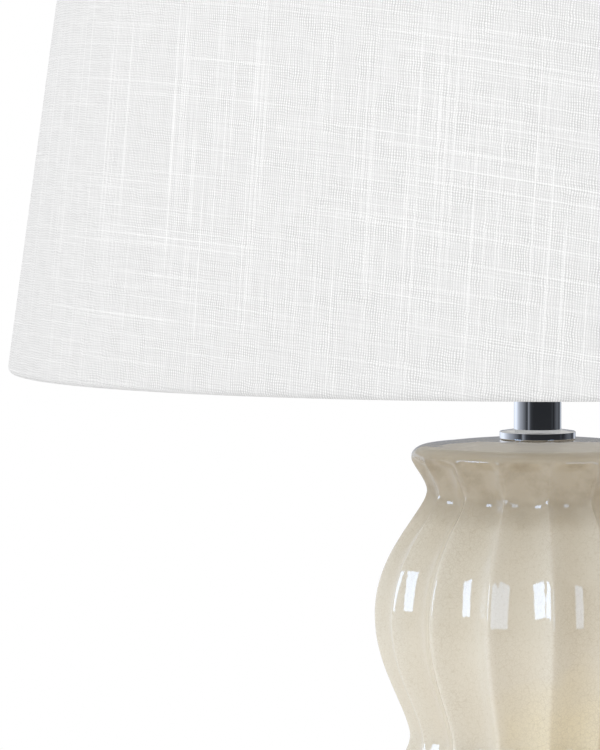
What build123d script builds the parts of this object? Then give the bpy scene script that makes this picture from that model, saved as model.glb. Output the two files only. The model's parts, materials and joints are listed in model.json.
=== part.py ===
from build123d import *
import os
from math import atan2, cos, hypot, pi, radians, sin, sqrt, tan

# Table lamp in millimetres, standing on z = 0 with its axis on Z. Its front is -Y, its cord hole at +Y.

# Ceramic body: ridge radii at each station from the foot up, and the rise from one station to the next
FOOT_EDGE_RADIUS = 64.0
FOOT_RADIUS = 67.0
ANKLE_RADIUS = 58.0
LOWER_BULB_RADIUS = 87.0
WAIST_RADIUS = 48.75
UPPER_BULB_RADIUS = 62.65
THROAT_RADIUS = 42.4
LIP_RADIUS = 48.6
LIP_EDGE_RADIUS = 41.8
FOOT_EDGE_RISE = 5.0
FOOT_RISE = 20.0
LOWER_BULB_RISE = 80.0
WAIST_RISE = 87.4
UPPER_BULB_RISE = 47.4
THROAT_RISE = 46.7
LIP_RISE = 13.6
LIP_EDGE_RISE = 4.7
DOME_RISE = 2.1
BULB_SWELL = 0.7
BELLY_SWELL = 0.77
SHOULDER_SWELL = 0.66
LIP_SWELL = 1.27
FLUTE_COUNT = 16
FLUTE_SIDE_ANGLE = 38.0
FOOT_RUN_OUT = 11.0
LIP_RUN_OUT = 6.0
FLUTE_STEPS = (-1.0, -0.8, -0.4, 0.0, 0.4, 0.8)
SECTION_SPACING = 9.0
EDGE_STEPS = 3
BODY_WALL = 6.0
FLOOR_THICKNESS = 7.0
TOP_THICKNESS = 7.0
RECESS_DEPTH = 16.0
SEAT_RADIUS = 16.0
DOME_INSET = 0.2
CAVITY_STEPS = 24

# Felt pad and cord grommet
FELT_THICKNESS = 2.0
FELT_INSET = 2.5
CORD_HOLE_HEIGHT = 10.0
GROMMET_BORE_RADIUS = 3.6
GROMMET_WALL = 1.2
GROMMET_FLANGE_WIDTH = 1.5
GROMMET_FLANGE_THICKNESS = 2.0
GROMMET_TAIL = 1.0
GROMMET_SEAT_MARGIN = 0.8

# Lamp pipe and the clamp under the floor
PIPE_RADIUS = 4.8
PIPE_BORE_RADIUS = 3.2
PIPE_TAIL = 2.0
PIPE_CLEARANCE = 0.2
THREAD_CLEARANCE = 0.05
WASHER_RADIUS = 23.0
WASHER_THICKNESS = 2.5
LOCK_WASHER_RADIUS = 8.6
LOCK_WASHER_THICKNESS = 1.0
LOCK_WASHER_TEETH = 10
LOCK_TOOTH_DEPTH = 1.8
LOCK_TOOTH_GAP = 1.4
BOTTOM_NUT_FLATS = 17.0
BOTTOM_NUT_HEIGHT = 5.0
NUT_CHAMFER = 0.5

# Polished neck
COLLAR_RADIUS = 14.6
COLLAR_HEIGHT = 3.9
COLLAR_SLOPE = 0.8
COLLAR_EDGE = 0.4
SPIGOT_HEIGHT = 2.0
SPIGOT_CLEARANCE = 0.1
NECK_RADIUS = 9.1
NECK_WALL = 1.0
NECK_LENGTH = 45.6
NECK_CAP_RADIUS = 11.0
NECK_CAP_HEIGHT = 3.0
NECK_CAP_EDGE = 0.5

# Harp saddle
SADDLE_THICKNESS = 1.5
SADDLE_WIDTH = 14.0
SADDLE_BEND = 5.0
SADDLE_ARM_HEIGHT = 20.0
SADDLE_TAB_WIDTH = 3.0
SADDLE_TAB_HEIGHT = 9.0
SADDLE_TAB_GAP = 0.1
SADDLE_NUT_FLATS = 14.0
SADDLE_NUT_HEIGHT = 4.5

# Socket
CAP_RADIUS = 16.2
CAP_WALL = 0.8
CAP_HEIGHT = 16.0
CAP_BEND = 3.0
HUB_RADIUS = 7.5
HUB_HEIGHT = 6.0
SET_SCREW_RADIUS = 1.6
SET_SCREW_PROUD = 0.6
SET_SCREW_SLOT = 0.7
SET_SCREW_SLOT_DEPTH = 1.0
SOCKET_FIT = 0.1
SHELL_WALL = 0.6
SHELL_FOOT = 3.0
LINER_WALL = 0.6
CORE_CLEARANCE = 0.3
CORE_CHAMFER = 1.0
CORE_ROOF = 8.0
TERMINAL_FLAT = 3.6
TERMINAL_HEAD_RADIUS = 2.8
TERMINAL_HEAD_HEIGHT = 1.8
TERMINAL_SHANK_RADIUS = 1.5
TERMINAL_SHANK_LENGTH = 5.0
TERMINAL_SLOT = 0.7
TERMINAL_RISE = 8.0
SCREW_SHELL_WALL = 0.4
SCREW_SHELL_HOLE = 7.0
CONTACT_RADIUS = 4.5
CONTACT_PLATE = 0.6
CONTACT_BUMP_RADIUS = 2.5
CONTACT_HEIGHT = 2.2

# Turn switch
SWITCH_RISE = 4.5
SHAFT_RADIUS = 2.0
SHAFT_CLEARANCE = 0.08
SHAFT_HOLE_CLEARANCE = 0.6
SHAFT_START = 6.0
SHAFT_IN_KNOB = 9.0
KNOB_GAP = 1.5
KNOB_COLLAR_RADIUS = 5.2
KNOB_COLLAR_LENGTH = 4.0
KNOB_PADDLE_WIDTH = 15.0
KNOB_PADDLE_THICKNESS = 5.5
KNOB_PADDLE_LENGTH = 11.0
KNOB_EDGE = 1.2

# Bulb
BULB_LENGTH = 108.0
BULB_RADIUS = 30.0
BULB_BASE_RADIUS = 13.05
BULB_BASE_LENGTH = 26.0
BULB_BASE_WALL = 0.5
BULB_TIP_GAP = 0.1
BULB_TIP_RADIUS = 4.6
BULB_TIP_HEIGHT = 1.0
BULB_INSULATOR_HEIGHT = 3.5
BULB_NECK_RADIUS = 13.6
BULB_NECK_GAP = 0.5
BULB_HOUSING_WALL = 2.0
BULB_GLOBE_WALL = 1.5

# Harp, its ferrules and its turning stud
HARP_HEIGHT = 214.4
HARP_WIRE_RADIUS = 2.0
HARP_LEG_X = 27.0
HARP_HALF_WIDTH = 56.0
HARP_FLARE_RISE = 10.0
HARP_FLARE_HEIGHT = 46.0
HARP_SHOULDER_DROP = 52.0
HARP_TOP_HALF_WIDTH = 30.0
HARP_FLARE_BEND = 28.0
HARP_SIDE_BEND = 46.0
HARP_TOP_BEND = 22.0
HARP_EYE_RADIUS = 7.5
HARP_EYE_THICKNESS = 3.4
FERRULE_HEIGHT = 13.0
FERRULE_WALL = 1.0
FERRULE_CLEARANCE = 0.3
FERRULE_TRAVEL = 12.0
FERRULE_EDGE = 0.3
LEG_SPARE = 3.0
STUD_SHANK_RADIUS = 2.6
STUD_CLEARANCE = 0.08
STUD_RIVET_RADIUS = 4.2
STUD_RIVET_HEIGHT = 1.2
STUD_SEAT_RADIUS = 6.5
STUD_SEAT_HEIGHT = 2.0
STUD_THREAD_RADIUS = 3.175
STUD_THREAD_LENGTH = 14.0

# Finial
FINIAL_BASE_RADIUS = 8.0
FINIAL_BASE_HEIGHT = 2.5
FINIAL_NECK_RADIUS = 4.8
FINIAL_NECK_HEIGHT = 7.0
FINIAL_BALL_RADIUS = 9.0
FINIAL_BORE_SPARE = 2.0
FINIAL_EDGE = 0.8

# Shade
SHADE_BOTTOM_RADIUS = 203.2
SHADE_TOP_RADIUS = 168.0
SHADE_HEIGHT = 260.0
FABRIC_THICKNESS = 0.5
GLUE_GAP = 0.35
RING_GAP = 0.3
BACKING_THICKNESS = 0.4
RING_WIRE_RADIUS = 1.5
HEM_DEPTH = 14.0
HEM_SETTLE = 7.0
HEM_HUG = 1.0
HEM_BEND = 1.5
ROLL_SHARE = 0.98
BACKING_START = 2.5
SEAM_WIDTH = 12.0
SPIDER_RISE = 12.0
SPIDER_HUB_RADIUS = 12.5
SPIDER_HUB_THICKNESS = 2.4
SPIDER_HOLE_CLEARANCE = 0.4
SPIDER_WIRE_RADIUS = 1.4
SPIDER_FLAT = 16.0
SPIDER_RAMP = 45.0
SPIDER_BEND = 8.0
SPIDER_ROOT = 6.0
SPIDER_SLIT = 0.5
SPIDER_ANGLES = (90.0, 210.0, 330.0)

# Heights worked out from the stack, starting at the table
BODY_Z = FELT_THICKNESS
FOOT_H = FOOT_EDGE_RISE
ANKLE_H = FOOT_H + FOOT_RISE
LOWER_BULB_H = ANKLE_H + LOWER_BULB_RISE
WAIST_H = LOWER_BULB_H + WAIST_RISE
UPPER_BULB_H = WAIST_H + UPPER_BULB_RISE
THROAT_H = UPPER_BULB_H + THROAT_RISE
LIP_H = THROAT_H + LIP_RISE
LIP_EDGE_H = LIP_H + LIP_EDGE_RISE
SEAT_H = LIP_EDGE_H + DOME_RISE
SEAT_Z = BODY_Z + SEAT_H
FLOOR_Z = BODY_Z + RECESS_DEPTH
WASHER_Z = FLOOR_Z - WASHER_THICKNESS
LOCK_WASHER_Z = WASHER_Z - LOCK_WASHER_THICKNESS
BOTTOM_NUT_Z = LOCK_WASHER_Z - BOTTOM_NUT_HEIGHT
PIPE_Z = BOTTOM_NUT_Z - PIPE_TAIL
CORD_Z = BODY_Z + CORD_HOLE_HEIGHT
NECK_Z = SEAT_Z + COLLAR_HEIGHT
NECK_CAP_Z = NECK_Z + NECK_LENGTH
SADDLE_Z = NECK_CAP_Z + NECK_CAP_HEIGHT
SADDLE_NUT_Z = SADDLE_Z + SADDLE_THICKNESS
SHOULDER_Z = SADDLE_Z + SADDLE_ARM_HEIGHT
TAB_TOP_Z = SHOULDER_Z + SADDLE_TAB_HEIGHT
HUB_Z = SADDLE_NUT_Z + SADDLE_NUT_HEIGHT
CAP_Z = HUB_Z + HUB_HEIGHT
CAP_TOP_Z = CAP_Z + CAP_HEIGHT
CORE_Z = CAP_Z + CAP_WALL
SWITCH_Z = CAP_TOP_Z + SWITCH_RISE
CORE_TOP_Z = SWITCH_Z + CORE_ROOF
BULB_Z = CORE_TOP_Z + CONTACT_HEIGHT + BULB_TIP_GAP
BULB_NECK_Z = BULB_Z + BULB_BASE_LENGTH
SHELL_Z = CORE_Z + SHELL_FOOT
SHELL_TOP_Z = BULB_NECK_Z - BULB_NECK_GAP
SCREW_SHELL_TOP_Z = SHELL_TOP_Z - SHELL_WALL - SOCKET_FIT
HARP_TOP_Z = SADDLE_Z + HARP_HEIGHT
EYE_TOP_Z = HARP_TOP_Z + HARP_EYE_THICKNESS / 2
HUB_SEAT_Z = EYE_TOP_Z + STUD_SEAT_HEIGHT
SPIDER_Z = HUB_SEAT_Z + SPIDER_HUB_THICKNESS / 2
FINIAL_Z = HUB_SEAT_Z + SPIDER_HUB_THICKNESS
RING_Z = SPIDER_Z + SPIDER_RISE

# Radii worked out from what fits inside what
RECESS_RADIUS = ANKLE_RADIUS - BODY_WALL
PIPE_HOLE_RADIUS = PIPE_RADIUS + PIPE_CLEARANCE
THREAD_HOLE_RADIUS = PIPE_RADIUS + THREAD_CLEARANCE
SPIGOT_RADIUS = NECK_RADIUS - NECK_WALL - SPIGOT_CLEARANCE
SHELL_RADIUS = CAP_RADIUS - CAP_WALL - SOCKET_FIT
LINER_RADIUS = SHELL_RADIUS - SHELL_WALL - SOCKET_FIT
SCREW_SHELL_RADIUS = LINER_RADIUS - LINER_WALL - SOCKET_FIT
CORE_RADIUS = LINER_RADIUS - LINER_WALL - CORE_CLEARANCE
SHAFT_HOLE_RADIUS = SHAFT_RADIUS + SHAFT_HOLE_CLEARANCE
GROMMET_RADIUS = GROMMET_BORE_RADIUS + GROMMET_WALL
GROMMET_FLANGE_RADIUS = GROMMET_RADIUS + GROMMET_FLANGE_WIDTH
TAB_X = HARP_LEG_X - SADDLE_TAB_GAP - SADDLE_THICKNESS / 2
TAB_REACH = hypot(SADDLE_TAB_GAP + SADDLE_THICKNESS, SADDLE_TAB_WIDTH / 2)
FERRULE_BORE_RADIUS = max(HARP_WIRE_RADIUS, TAB_REACH) + FERRULE_CLEARANCE
ROLL_RADIUS = RING_WIRE_RADIUS + RING_GAP + FABRIC_THICKNESS / 2

# The shade's wall in its own frame: along runs up the slope from the bottom edge, in is square to it
SHADE_TOP_Z = RING_Z + ROLL_RADIUS + FABRIC_THICKNESS / 2
SHADE_Z = SHADE_TOP_Z - SHADE_HEIGHT
SLOPE = atan2(SHADE_BOTTOM_RADIUS - SHADE_TOP_RADIUS, SHADE_HEIGHT)
ROLL_REACH = ROLL_RADIUS + FABRIC_THICKNESS / 2
BOTTOM_RING_ALONG = (ROLL_REACH + sin(SLOPE) * ROLL_REACH) / cos(SLOPE)
TOP_RING_ALONG = (SHADE_HEIGHT - ROLL_REACH + sin(SLOPE) * ROLL_REACH) / cos(SLOPE)
BACKING_IN = FABRIC_THICKNESS / 2 + GLUE_GAP
HEM_IN = BACKING_IN + BACKING_THICKNESS + GLUE_GAP + FABRIC_THICKNESS / 2


def swell(share, power):
    """Rise from a narrow station (0) to a wide one (1), level at both."""
    return (1 - cos(pi * share**power)) / 2


def quarter_round(share):
    """Rise from an edge (0) to the station that it rounds off (1)."""
    return sqrt(1 - (1 - share) ** 2)


def bulb_swell(share):
    return swell(share, BULB_SWELL)


def belly_swell(share):
    return swell(share, BELLY_SWELL)


def shoulder_swell(share):
    return swell(share, SHOULDER_SWELL)


def lip_swell(share):
    return swell(share, LIP_SWELL)


# Stretches of the outline: height and radius at the narrow end, then at the wide end, and the curve between
STRETCHES = [
    (0.0, FOOT_EDGE_RADIUS, FOOT_H, FOOT_RADIUS, quarter_round),
    (ANKLE_H, ANKLE_RADIUS, FOOT_H, FOOT_RADIUS, lip_swell),
    (ANKLE_H, ANKLE_RADIUS, LOWER_BULB_H, LOWER_BULB_RADIUS, bulb_swell),
    (WAIST_H, WAIST_RADIUS, LOWER_BULB_H, LOWER_BULB_RADIUS, bulb_swell),
    (WAIST_H, WAIST_RADIUS, UPPER_BULB_H, UPPER_BULB_RADIUS, belly_swell),
    (THROAT_H, THROAT_RADIUS, UPPER_BULB_H, UPPER_BULB_RADIUS, shoulder_swell),
    (THROAT_H, THROAT_RADIUS, LIP_H, LIP_RADIUS, lip_swell),
    (LIP_EDGE_H, LIP_EDGE_RADIUS, LIP_H, LIP_RADIUS, quarter_round),
]


def ridge_radius(height):
    """Radius of the ridges between flutes, at a height above the foot."""
    for narrow_h, narrow, wide_h, wide, curve in STRETCHES:
        if height <= max(narrow_h, wide_h):
            share = min(1.0, abs(height - narrow_h) / abs(wide_h - narrow_h))
            return narrow + (wide - narrow) * curve(share)
    return LIP_EDGE_RADIUS


def ease(share):
    """Smooth step from 0 to 1."""
    share = min(1.0, max(0.0, share))
    return share * share * (3 - 2 * share)


def flute_depth(height):
    """Depth of a flute below its ridges, which runs out towards the foot and the lip."""
    half_pitch = pi / FLUTE_COUNT
    hollow = sin(half_pitch) * tan(radians(FLUTE_SIDE_ANGLE) / 2)
    full = ridge_radius(height) * (1 - cos(half_pitch) + hollow)
    return full * ease((height - FOOT_H) / FOOT_RUN_OUT) * ease((LIP_H - height) / LIP_RUN_OUT)


def section_points(height):
    """Points round the fluted outside at a height, with a flute facing the front."""
    points = []
    for flute in range(FLUTE_COUNT):
        for step in FLUTE_STEPS:
            angle = -pi / 2 + (2 * flute + step) * pi / FLUTE_COUNT
            radius = ridge_radius(height) - flute_depth(height) * (1 - step * step)
            points.append((radius * cos(angle), radius * sin(angle)))
    return points


def section_heights():
    """Heights of the lofted sections: closer together round the two edges."""
    heights = []
    for narrow_h, narrow, wide_h, wide, curve in STRETCHES:
        low, high = sorted((narrow_h, wide_h))
        rounded = curve is quarter_round
        count = EDGE_STEPS if rounded else max(2, round((high - low) / SECTION_SPACING))
        for step in range(count):
            share = step / count
            if rounded:
                share = 1 - cos(share * pi / 2) if low == narrow_h else sin(share * pi / 2)
            heights.append(low + (high - low) * share)
    return heights + [LIP_EDGE_H]


def flute_floor(height):
    """Radius at the bottom of a flute."""
    return ridge_radius(height) - flute_depth(height)


def on_wall(along, inward):
    """Radius and height of a point in the shade wall's frame, whose zero is the middle of the fabric."""
    start = FABRIC_THICKNESS / 2 + inward
    radius = SHADE_BOTTOM_RADIUS - sin(SLOPE) * along - cos(SLOPE) * start
    height = SHADE_Z + cos(SLOPE) * along - sin(SLOPE) * start
    return radius, height


def front_plane(angle):
    """Upright plane through the axis, with its own X pointing out at an angle."""
    turn = radians(angle)
    return Plane(origin=(0, 0, 0), x_dir=(cos(turn), sin(turn), 0), z_dir=(sin(turn), -cos(turn), 0))


def hex_nut(bottom, flats, height):
    """Hexagon nut on the lamp pipe."""
    with BuildPart() as nut:
        with BuildSketch(Plane.XY.offset(bottom)):
            RegularPolygon(radius=flats / 2, side_count=6, major_radius=False)
            Circle(THREAD_HOLE_RADIUS, mode=Mode.SUBTRACT)
        extrude(amount=height)
        chamfer(nut.edges().filter_by(Plane.XY).filter_by(GeomType.LINE), length=NUT_CHAMFER)
    return nut


def save(piece, name):
    """Label a finished piece and write it."""
    piece.part.label = name
    export_step(piece.part, f"parts/{name}.step")


os.makedirs("parts", exist_ok=True)

# Ceramic body: a fluted double gourd with a domed top, hollow, with a recess under its floor
GROMMET_SEAT_Y = flute_floor(CORD_HOLE_HEIGHT + GROMMET_FLANGE_RADIUS) - GROMMET_SEAT_MARGIN
with BuildPart() as ceramic_body:
    for section_height in section_heights():
        with BuildSketch(Plane.XY.offset(BODY_Z + section_height)):
            with BuildLine():
                Spline(*section_points(section_height), periodic=True)
            make_face()
    loft()
    with BuildSketch(Plane.XZ):
        with BuildLine():
            Polyline(
                (0, BODY_Z + LIP_H),
                (0, SEAT_Z),
                (SEAT_RADIUS, SEAT_Z),
                (LIP_EDGE_RADIUS - DOME_INSET, BODY_Z + LIP_EDGE_H),
                (LIP_EDGE_RADIUS - DOME_INSET, BODY_Z + LIP_H),
                close=True,
            )
        make_face()
    revolve(axis=Axis.Z)
    cavity_low = RECESS_DEPTH + FLOOR_THICKNESS
    cavity_high = SEAT_H - TOP_THICKNESS
    cavity_heights = [
        cavity_low + (cavity_high - cavity_low) * step / CAVITY_STEPS for step in range(CAVITY_STEPS + 1)
    ]
    cavity_points = [(flute_floor(h) - BODY_WALL, BODY_Z + h) for h in cavity_heights]
    with BuildSketch(Plane.XZ):
        with BuildLine():
            Spline(*cavity_points)
            Polyline(
                cavity_points[-1],
                (0, BODY_Z + cavity_high),
                (0, BODY_Z + cavity_low),
                cavity_points[0],
            )
        make_face()
    revolve(axis=Axis.Z, mode=Mode.SUBTRACT)
    with BuildSketch(Plane.XY.offset(BODY_Z)):
        Circle(RECESS_RADIUS)
    extrude(amount=RECESS_DEPTH, mode=Mode.SUBTRACT)
    with BuildSketch(Plane.XY.offset(BODY_Z)):
        Circle(PIPE_HOLE_RADIUS)
    extrude(amount=SEAT_H, mode=Mode.SUBTRACT)
    with BuildSketch(Plane.XZ):
        with Locations((0, CORD_Z)):
            Circle(GROMMET_RADIUS + SOCKET_FIT)
    extrude(amount=-FOOT_RADIUS, mode=Mode.SUBTRACT)
    with BuildSketch(Plane.XZ.offset(-GROMMET_SEAT_Y)):
        with Locations((0, CORD_Z)):
            Circle(GROMMET_FLANGE_RADIUS + SOCKET_FIT)
    extrude(amount=-FOOT_RADIUS, mode=Mode.SUBTRACT)
save(ceramic_body, "ceramic_body")

# Felt pad under the foot
with BuildPart() as felt_pad:
    with BuildSketch():
        Circle(FOOT_EDGE_RADIUS - FELT_INSET)
    extrude(amount=FELT_THICKNESS)
save(felt_pad, "felt_pad")

# Cord grommet in the back of the foot
with BuildPart() as cord_grommet:
    grommet_end = GROMMET_SEAT_Y + GROMMET_FLANGE_THICKNESS
    with BuildSketch(Plane.XZ.offset(-GROMMET_SEAT_Y)):
        with Locations((0, CORD_Z)):
            Circle(GROMMET_FLANGE_RADIUS)
    extrude(amount=-GROMMET_FLANGE_THICKNESS)
    with BuildSketch(Plane.XZ.offset(-GROMMET_SEAT_Y)):
        with Locations((0, CORD_Z)):
            Circle(GROMMET_RADIUS)
    extrude(amount=GROMMET_SEAT_Y - RECESS_RADIUS + GROMMET_TAIL)
    with BuildSketch(Plane.XZ.offset(-grommet_end)):
        with Locations((0, CORD_Z)):
            Circle(GROMMET_BORE_RADIUS)
    extrude(amount=grommet_end - RECESS_RADIUS + GROMMET_TAIL, mode=Mode.SUBTRACT)
save(cord_grommet, "cord_grommet")

# Washer, toothed lock washer and nut that clamp the floor
with BuildPart() as bottom_washer:
    with BuildSketch(Plane.XY.offset(WASHER_Z)):
        Circle(WASHER_RADIUS)
        Circle(PIPE_HOLE_RADIUS, mode=Mode.SUBTRACT)
    extrude(amount=WASHER_THICKNESS)
save(bottom_washer, "bottom_washer")

with BuildPart() as bottom_lock_washer:
    with BuildSketch(Plane.XY.offset(LOCK_WASHER_Z)):
        Circle(LOCK_WASHER_RADIUS)
        Circle(PIPE_HOLE_RADIUS, mode=Mode.SUBTRACT)
        with PolarLocations(LOCK_WASHER_RADIUS, LOCK_WASHER_TEETH):
            Rectangle(2 * LOCK_TOOTH_DEPTH, LOCK_TOOTH_GAP, mode=Mode.SUBTRACT)
    extrude(amount=LOCK_WASHER_THICKNESS)
save(bottom_lock_washer, "bottom_lock_washer")

bottom_nut = hex_nut(BOTTOM_NUT_Z, BOTTOM_NUT_FLATS, BOTTOM_NUT_HEIGHT)
save(bottom_nut, "bottom_nut")

# Lamp pipe from the recess to the socket's hub
with BuildPart() as lamp_pipe:
    with BuildSketch(Plane.XY.offset(PIPE_Z)):
        Circle(PIPE_RADIUS)
        Circle(PIPE_BORE_RADIUS, mode=Mode.SUBTRACT)
    extrude(amount=CAP_Z - PIPE_Z)
save(lamp_pipe, "lamp_pipe")

# Polished collar, tube and cap of the neck
with BuildPart() as collar:
    with BuildSketch(Plane.XZ) as collar_side:
        with BuildLine():
            Polyline(
                (0, SEAT_Z),
                (COLLAR_RADIUS, SEAT_Z),
                (COLLAR_RADIUS, NECK_Z - COLLAR_SLOPE),
                (NECK_RADIUS, NECK_Z),
                (0, NECK_Z),
                close=True,
            )
        make_face()
        fillet(collar_side.vertices().group_by(Axis.X)[-1], radius=COLLAR_EDGE)
    revolve(axis=Axis.Z)
    with BuildSketch(Plane.XY.offset(NECK_Z)):
        Circle(SPIGOT_RADIUS)
    extrude(amount=SPIGOT_HEIGHT)
    with BuildSketch(Plane.XY.offset(SEAT_Z)):
        Circle(PIPE_HOLE_RADIUS)
    extrude(amount=COLLAR_HEIGHT + SPIGOT_HEIGHT, mode=Mode.SUBTRACT)
save(collar, "collar")

with BuildPart() as neck_tube:
    with BuildSketch(Plane.XY.offset(NECK_Z)):
        Circle(NECK_RADIUS)
        Circle(NECK_RADIUS - NECK_WALL, mode=Mode.SUBTRACT)
    extrude(amount=NECK_LENGTH)
save(neck_tube, "neck_tube")

with BuildPart() as neck_cap:
    with BuildSketch(Plane.XY.offset(NECK_CAP_Z)):
        Circle(NECK_CAP_RADIUS)
    extrude(amount=NECK_CAP_HEIGHT)
    fillet(neck_cap.edges(), radius=NECK_CAP_EDGE)
    with BuildSketch(Plane.XY.offset(NECK_CAP_Z)):
        Circle(SPIGOT_RADIUS)
    extrude(amount=-SPIGOT_HEIGHT)
    with BuildSketch(Plane.XY.offset(NECK_CAP_Z - SPIGOT_HEIGHT)):
        Circle(PIPE_HOLE_RADIUS)
    extrude(amount=SPIGOT_HEIGHT + NECK_CAP_HEIGHT, mode=Mode.SUBTRACT)
save(neck_cap, "neck_cap")

# Harp saddle: a bent strip whose ends narrow to the tabs that hold the harp's legs
with BuildPart() as harp_saddle:
    saddle_middle_z = SADDLE_Z + SADDLE_THICKNESS / 2
    with BuildSketch(Plane.XZ):
        with BuildLine() as saddle_line:
            FilletPolyline(
                (-TAB_X, TAB_TOP_Z),
                (-TAB_X, saddle_middle_z),
                (TAB_X, saddle_middle_z),
                (TAB_X, TAB_TOP_Z),
                radius=SADDLE_BEND,
            )
        trace(line_width=SADDLE_THICKNESS)
    extrude(amount=SADDLE_WIDTH / 2, both=True)
    tab_side_y = (SADDLE_WIDTH + SADDLE_TAB_WIDTH) / 2
    with BuildSketch(Plane.YZ):
        with Locations((-tab_side_y, TAB_TOP_Z), (tab_side_y, TAB_TOP_Z)):
            Rectangle(SADDLE_WIDTH, 2 * SADDLE_TAB_HEIGHT)
    extrude(amount=HARP_LEG_X, both=True, mode=Mode.SUBTRACT)
    with BuildSketch(Plane.XY.offset(SADDLE_Z)):
        Circle(PIPE_HOLE_RADIUS)
    extrude(amount=SADDLE_THICKNESS, mode=Mode.SUBTRACT)
save(harp_saddle, "harp_saddle")

saddle_nut = hex_nut(SADDLE_NUT_Z, SADDLE_NUT_FLATS, SADDLE_NUT_HEIGHT)
save(saddle_nut, "saddle_nut")

# Socket cap: a hub on the pipe with a cup above it
SET_SCREW_Z = HUB_Z + HUB_HEIGHT / 2
with BuildPart() as socket_cap:
    with BuildSketch(Plane.XY.offset(CAP_Z)):
        Circle(CAP_RADIUS)
    extrude(amount=CAP_HEIGHT)
    fillet(socket_cap.edges().group_by(Axis.Z)[0], radius=CAP_BEND)
    with BuildSketch(Plane.XY.offset(HUB_Z)):
        Circle(HUB_RADIUS)
    extrude(amount=HUB_HEIGHT + CAP_WALL)
    with BuildSketch(Plane.XZ):
        with BuildLine():
            inside = CAP_RADIUS - CAP_WALL
            FilletPolyline(
                (0, CORE_Z),
                (inside, CORE_Z),
                (inside, CAP_TOP_Z),
                (0, CAP_TOP_Z),
                radius=(CAP_BEND - CAP_WALL, 0),
            )
            Line((0, CAP_TOP_Z), (0, CORE_Z))
        make_face()
    revolve(axis=Axis.Z, mode=Mode.SUBTRACT)
    with BuildSketch(Plane.XY.offset(HUB_Z)):
        Circle(THREAD_HOLE_RADIUS)
    extrude(amount=HUB_HEIGHT + CAP_WALL, mode=Mode.SUBTRACT)
    with BuildSketch(Plane.YZ):
        with Locations((0, SET_SCREW_Z)):
            Circle(SET_SCREW_RADIUS + THREAD_CLEARANCE)
    extrude(amount=HUB_RADIUS, mode=Mode.SUBTRACT)
save(socket_cap, "socket_cap")

with BuildPart() as socket_set_screw:
    with BuildSketch(Plane.YZ.offset(THREAD_HOLE_RADIUS)):
        with Locations((0, SET_SCREW_Z)):
            Circle(SET_SCREW_RADIUS)
    extrude(amount=HUB_RADIUS - THREAD_HOLE_RADIUS + SET_SCREW_PROUD)
    with BuildSketch(Plane.YZ.offset(HUB_RADIUS + SET_SCREW_PROUD)):
        with Locations((0, SET_SCREW_Z)):
            Rectangle(2 * SET_SCREW_RADIUS, SET_SCREW_SLOT)
    extrude(amount=-SET_SCREW_SLOT_DEPTH, mode=Mode.SUBTRACT)
save(socket_set_screw, "socket_set_screw")

# Socket shell with its turned-in rim, and the insulating sleeve inside it
with BuildPart() as socket_shell:
    with BuildSketch(Plane.XY.offset(SHELL_Z)):
        Circle(SHELL_RADIUS)
        Circle(SHELL_RADIUS - SHELL_WALL, mode=Mode.SUBTRACT)
    extrude(amount=SHELL_TOP_Z - SHELL_Z)
    with BuildSketch(Plane.XY.offset(SHELL_TOP_Z - SHELL_WALL)):
        Circle(SHELL_RADIUS)
        Circle(SCREW_SHELL_RADIUS, mode=Mode.SUBTRACT)
    extrude(amount=SHELL_WALL)
    with BuildSketch(Plane.XZ):
        with Locations((0, SWITCH_Z)):
            Circle(SHAFT_HOLE_RADIUS)
    extrude(amount=SHELL_RADIUS, mode=Mode.SUBTRACT)
save(socket_shell, "socket_shell")

with BuildPart() as socket_liner:
    with BuildSketch(Plane.XY.offset(SHELL_Z)):
        Circle(LINER_RADIUS)
        Circle(LINER_RADIUS - LINER_WALL, mode=Mode.SUBTRACT)
    extrude(amount=SCREW_SHELL_TOP_Z - SHELL_Z)
    with BuildSketch(Plane.XZ):
        with Locations((0, SWITCH_Z)):
            Circle(SHAFT_HOLE_RADIUS)
    extrude(amount=LINER_RADIUS, mode=Mode.SUBTRACT)
save(socket_liner, "socket_liner")

# Insulating core with its shaft bore and the two flats for the terminal screws
TERMINAL_X = CORE_RADIUS - TERMINAL_FLAT
TERMINAL_Z = CORE_Z + TERMINAL_RISE
with BuildPart() as socket_core:
    with BuildSketch(Plane.XY.offset(CORE_Z)):
        Circle(CORE_RADIUS)
    extrude(amount=CORE_TOP_Z - CORE_Z)
    chamfer(socket_core.edges().group_by(Axis.Z)[0], length=CORE_CHAMFER)
    with BuildSketch(Plane.XZ):
        with Locations((0, SWITCH_Z)):
            Circle(SHAFT_RADIUS + SHAFT_CLEARANCE)
    extrude(amount=CORE_RADIUS, mode=Mode.SUBTRACT)
    for side in (-1, 1):
        with BuildSketch(Plane.YZ.offset(side * TERMINAL_X)):
            with Locations((0, CORE_Z)):
                Rectangle(2 * CORE_RADIUS, 2 * (2 * TERMINAL_RISE))
        extrude(amount=side * TERMINAL_FLAT, mode=Mode.SUBTRACT)
        with BuildSketch(Plane.YZ.offset(side * TERMINAL_X)):
            with Locations((0, TERMINAL_Z)):
                Circle(TERMINAL_SHANK_RADIUS + THREAD_CLEARANCE)
        extrude(amount=-side * TERMINAL_SHANK_LENGTH, mode=Mode.SUBTRACT)
save(socket_core, "socket_core")

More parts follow.
